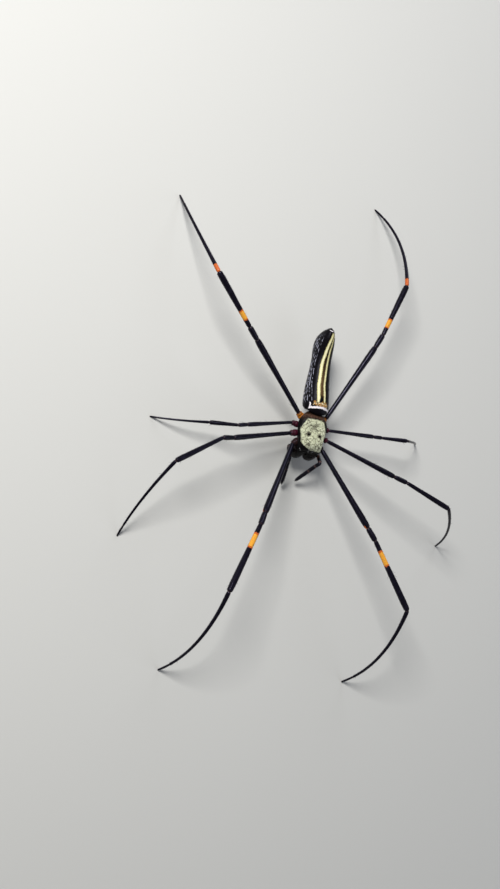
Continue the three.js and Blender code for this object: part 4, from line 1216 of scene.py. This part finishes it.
def leg_joints(pair, side, foot, lean, thigh, knee, bow_up, swing):
    """The leg's joints: it lies in one plane through its hip and its foot."""
    root_at, hip_at, femur, patella, tibia, last_length, _ = LEG_PAIRS[pair]
    root = Vector(on_body((side * root_at[0], root_at[1], HIP_HEIGHT - 1.0)))
    hip = Vector(on_body((side * hip_at[0], hip_at[1], HIP_HEIGHT)))
    end = Vector((foot[0], foot[1], FOOT_HEIGHT))
    reach = (end - hip).normalized()
    upright = (Vector((0, 0, 1)) - reach * reach.z).normalized()
    rise = upright * math.cos(math.radians(lean)) + reach.cross(upright) * math.sin(math.radians(lean))

    def heading(angle):
        return reach * math.cos(angle) + rise * math.sin(angle)

    knee_at = hip + heading(math.radians(thigh)) * femur
    shin_at = knee_at + heading(math.radians(knee)) * patella
    rest = end - shin_at
    inner = (tibia ** 2 + rest.length_squared - last_length ** 2) / (2 * tibia * rest.length)
    shin_rise = math.atan2(rest.dot(rise), rest.dot(reach)) + math.acos(min(1, inner))
    ankle_at = shin_at + heading(shin_rise) * tibia
    last = end - ankle_at
    outward = (rise - last * (rise.dot(last) / last.length_squared)).normalized()
    bend = ankle_at.lerp(end, 0.55) + (outward * bow_up + reach.cross(rise) * swing) * (2 * last.length)
    return [root, hip, knee_at, shin_at], bow(ankle_at, bend, end, 60), np.array(reach.cross(rise))


def leg_skin(name, stance):
    girth = LEG_PAIRS[stance[0]][-1]
    stout = (girth + 1) / 2
    joints, foot_line, plane = leg_joints(*stance)
    at, line = smooth_path([*joints, *foot_line], LINE_STEP, BEND_SOFTNESS)
    ends = [*joints, Vector(foot_line[0])]
    starts = np.cumsum([0] + [(b - a).length for a, b in zip(ends, ends[1:])])
    starts = np.append(starts, at[-1])
    tarsus = starts[4] + TARSUS_FROM * (starts[5] - starts[4])
    near = np.array([starts[1] * TROCHANTER_FROM, *starts[1:5], tarsus])
    # rings stand every half millimetre, and closer at the joints and the tip
    picks = np.concatenate([np.arange(0, at[-1], RING_STEP),
                            np.arange(at[-1] - TIP_REACH, at[-1] - LINE_STEP, TIP_STEP),
                            *[np.arange(j - JOINT_REACH, j + JOINT_REACH, JOINT_STEP) for j in near]])
    picks = np.unique(np.round(np.clip(picks, 0, at[-1]) / LINE_STEP).astype(int))
    at, line = at[picks], line[picks]
    radii = np.zeros(len(at))
    for start, stop, profile, wide in zip(starts, starts[1:], LEG_RADII, (stout, girth, girth, girth, girth)):
        here = (at >= start) & (at <= stop)
        radii[here] = wide * np.interp((at[here] - start) / (stop - start), *np.array(profile).T)
    radii = np.where(at > tarsus, radii * stout / girth, radii)
    neck = sum(bell(at - j, 0.16) for j in near)
    flare = sum(bell(at - j + 0.5, 0.35) for j in near)
    radii = (radii - SKIN_INSET) * (1 - 0.24 * neck + 0.03 * flare)
    radii = radii * round_end(at - at[-1] + 0.35, 0.36, least=0.03)
    rows = spike_rows(line, radii, plane, LEG_COLUMNS)
    flat = measured(rows)
    flat[..., 1] = (at - starts[1])[:, None]
    # the foot's sole is flat on the floor, and bare there
    rows[..., 2] = np.maximum(rows[..., 2], 0)
    coat = (ease(2.0, 4.0, at) - 0.9 * neck).clip(0.05, 1)[:, None] * ease(0.35, 0.9, rows[..., 2])
    leg = closed_skin(name + "_skin", rows, flat, coat=coat, lie=unit(np.gradient(line, axis=0)), neck=neck)
    tip = line[-4]
    tip[2] = max(tip[2], CLAW_HEIGHT)
    claw_tuft(name + "_claws", tip, line[-1] - line[-14], 1.0)
    return leg


# millimetres round the thigh from its outer side to the middle of its under side
UNDERSIDE = 1.6
BAND_YELLOW = (0.66, 0.30, 0.035, 1)
BAND_ORANGE = (0.45, 0.10, 0.02, 1)
HIP_ORANGE = (0.40, 0.14, 0.014, 1)
HIP_BROWN = (0.045, 0.006, 0.014, 1)
HIP_DARK = (0.02, 0.010, 0.010, 1)
NECK_BROWN = (0.03, 0.014, 0.012, 1)
LEG_BLACK, LEG_VIOLET = (0.004, 0.0035, 0.007, 1), (0.010, 0.009, 0.017, 1)


def leg_finish(name, hip_colour, *bands):
    """Each band has its start, its end and its colour; a fourth value keeps it on the under side."""
    finish = Finish(name)
    cloud = finish.grain(1.2, 3.0)
    edge = finish.grain(0.3, 2.0).sway(0.9)
    hip = (finish.along + cloud.sway(0.8)).fade(0.5, -0.6) * (cloud * 0.6 + edge).fade(-0.1, 0.25)
    layers = [(cloud.fade(0.45, 0.8), LEG_VIOLET), (hip, hip_colour), (finish.fact("neck") * 0.7, NECK_BROWN)]
    for start, stop, colour, *beneath in bands:
        band = (finish.along + edge).within(start, stop)
        if beneath:
            band = band * abs(finish.across - UNDERSIDE).fade(1.5, 1.3)
        layers.append((band, colour))
    finish.colour(LEG_BLACK, *layers)
    finish.relief((finish.cells(0.2), 0.006), (finish.grain(0.4, 2.0), 0.01),
                  (finish.grain(0.5, 2.0, stretch=(3.0, 0.3, 1.0)), 0.01))
    return finish.set(Roughness=finish.grain(0.3, 2.0) * 0.2 + 0.12, Specular_Tint=(0.74, 0.72, 1.0, 1),
                      Specular_IOR_Level=0.15)


leg_shells = {
    1: leg_finish("leg_shell_first", HIP_DARK, (37.2, 42.6, BAND_ORANGE), (37.8, 42.1, BAND_YELLOW),
                  (27.9, 29.1, BAND_ORANGE, "beneath")),
    2: leg_finish("leg_shell_plain", HIP_BROWN),
    4: leg_finish("leg_shell_last", HIP_ORANGE, (37.0, 40.5, BAND_ORANGE), (37.4, 40.0, BAND_YELLOW),
                  (54.0, 56.6, BAND_ORANGE)),
}
leg_shells[3] = leg_shells[2]
for count, (name, stance) in enumerate(LEG_STANCES.items()):
    leg = leg_skin(name, stance)
    dress(leg, leg_shells[stance[0]], "leg_shell", *[name + "_" + part for part in LEG_PARTS])
    grow_coat(name + "_bristles", leg, bristle, "leg_shell", Hairs_per_mm2=3.4, Hair_length_mm=0.5,
              Hair_radius_mm=0.02, Hair_lean=0.95, Spines_per_mm2=0.05, Spine_length_mm=1.3,
              Spine_radius_mm=0.05, Spine_lean=0.75, Seed=50 + count)
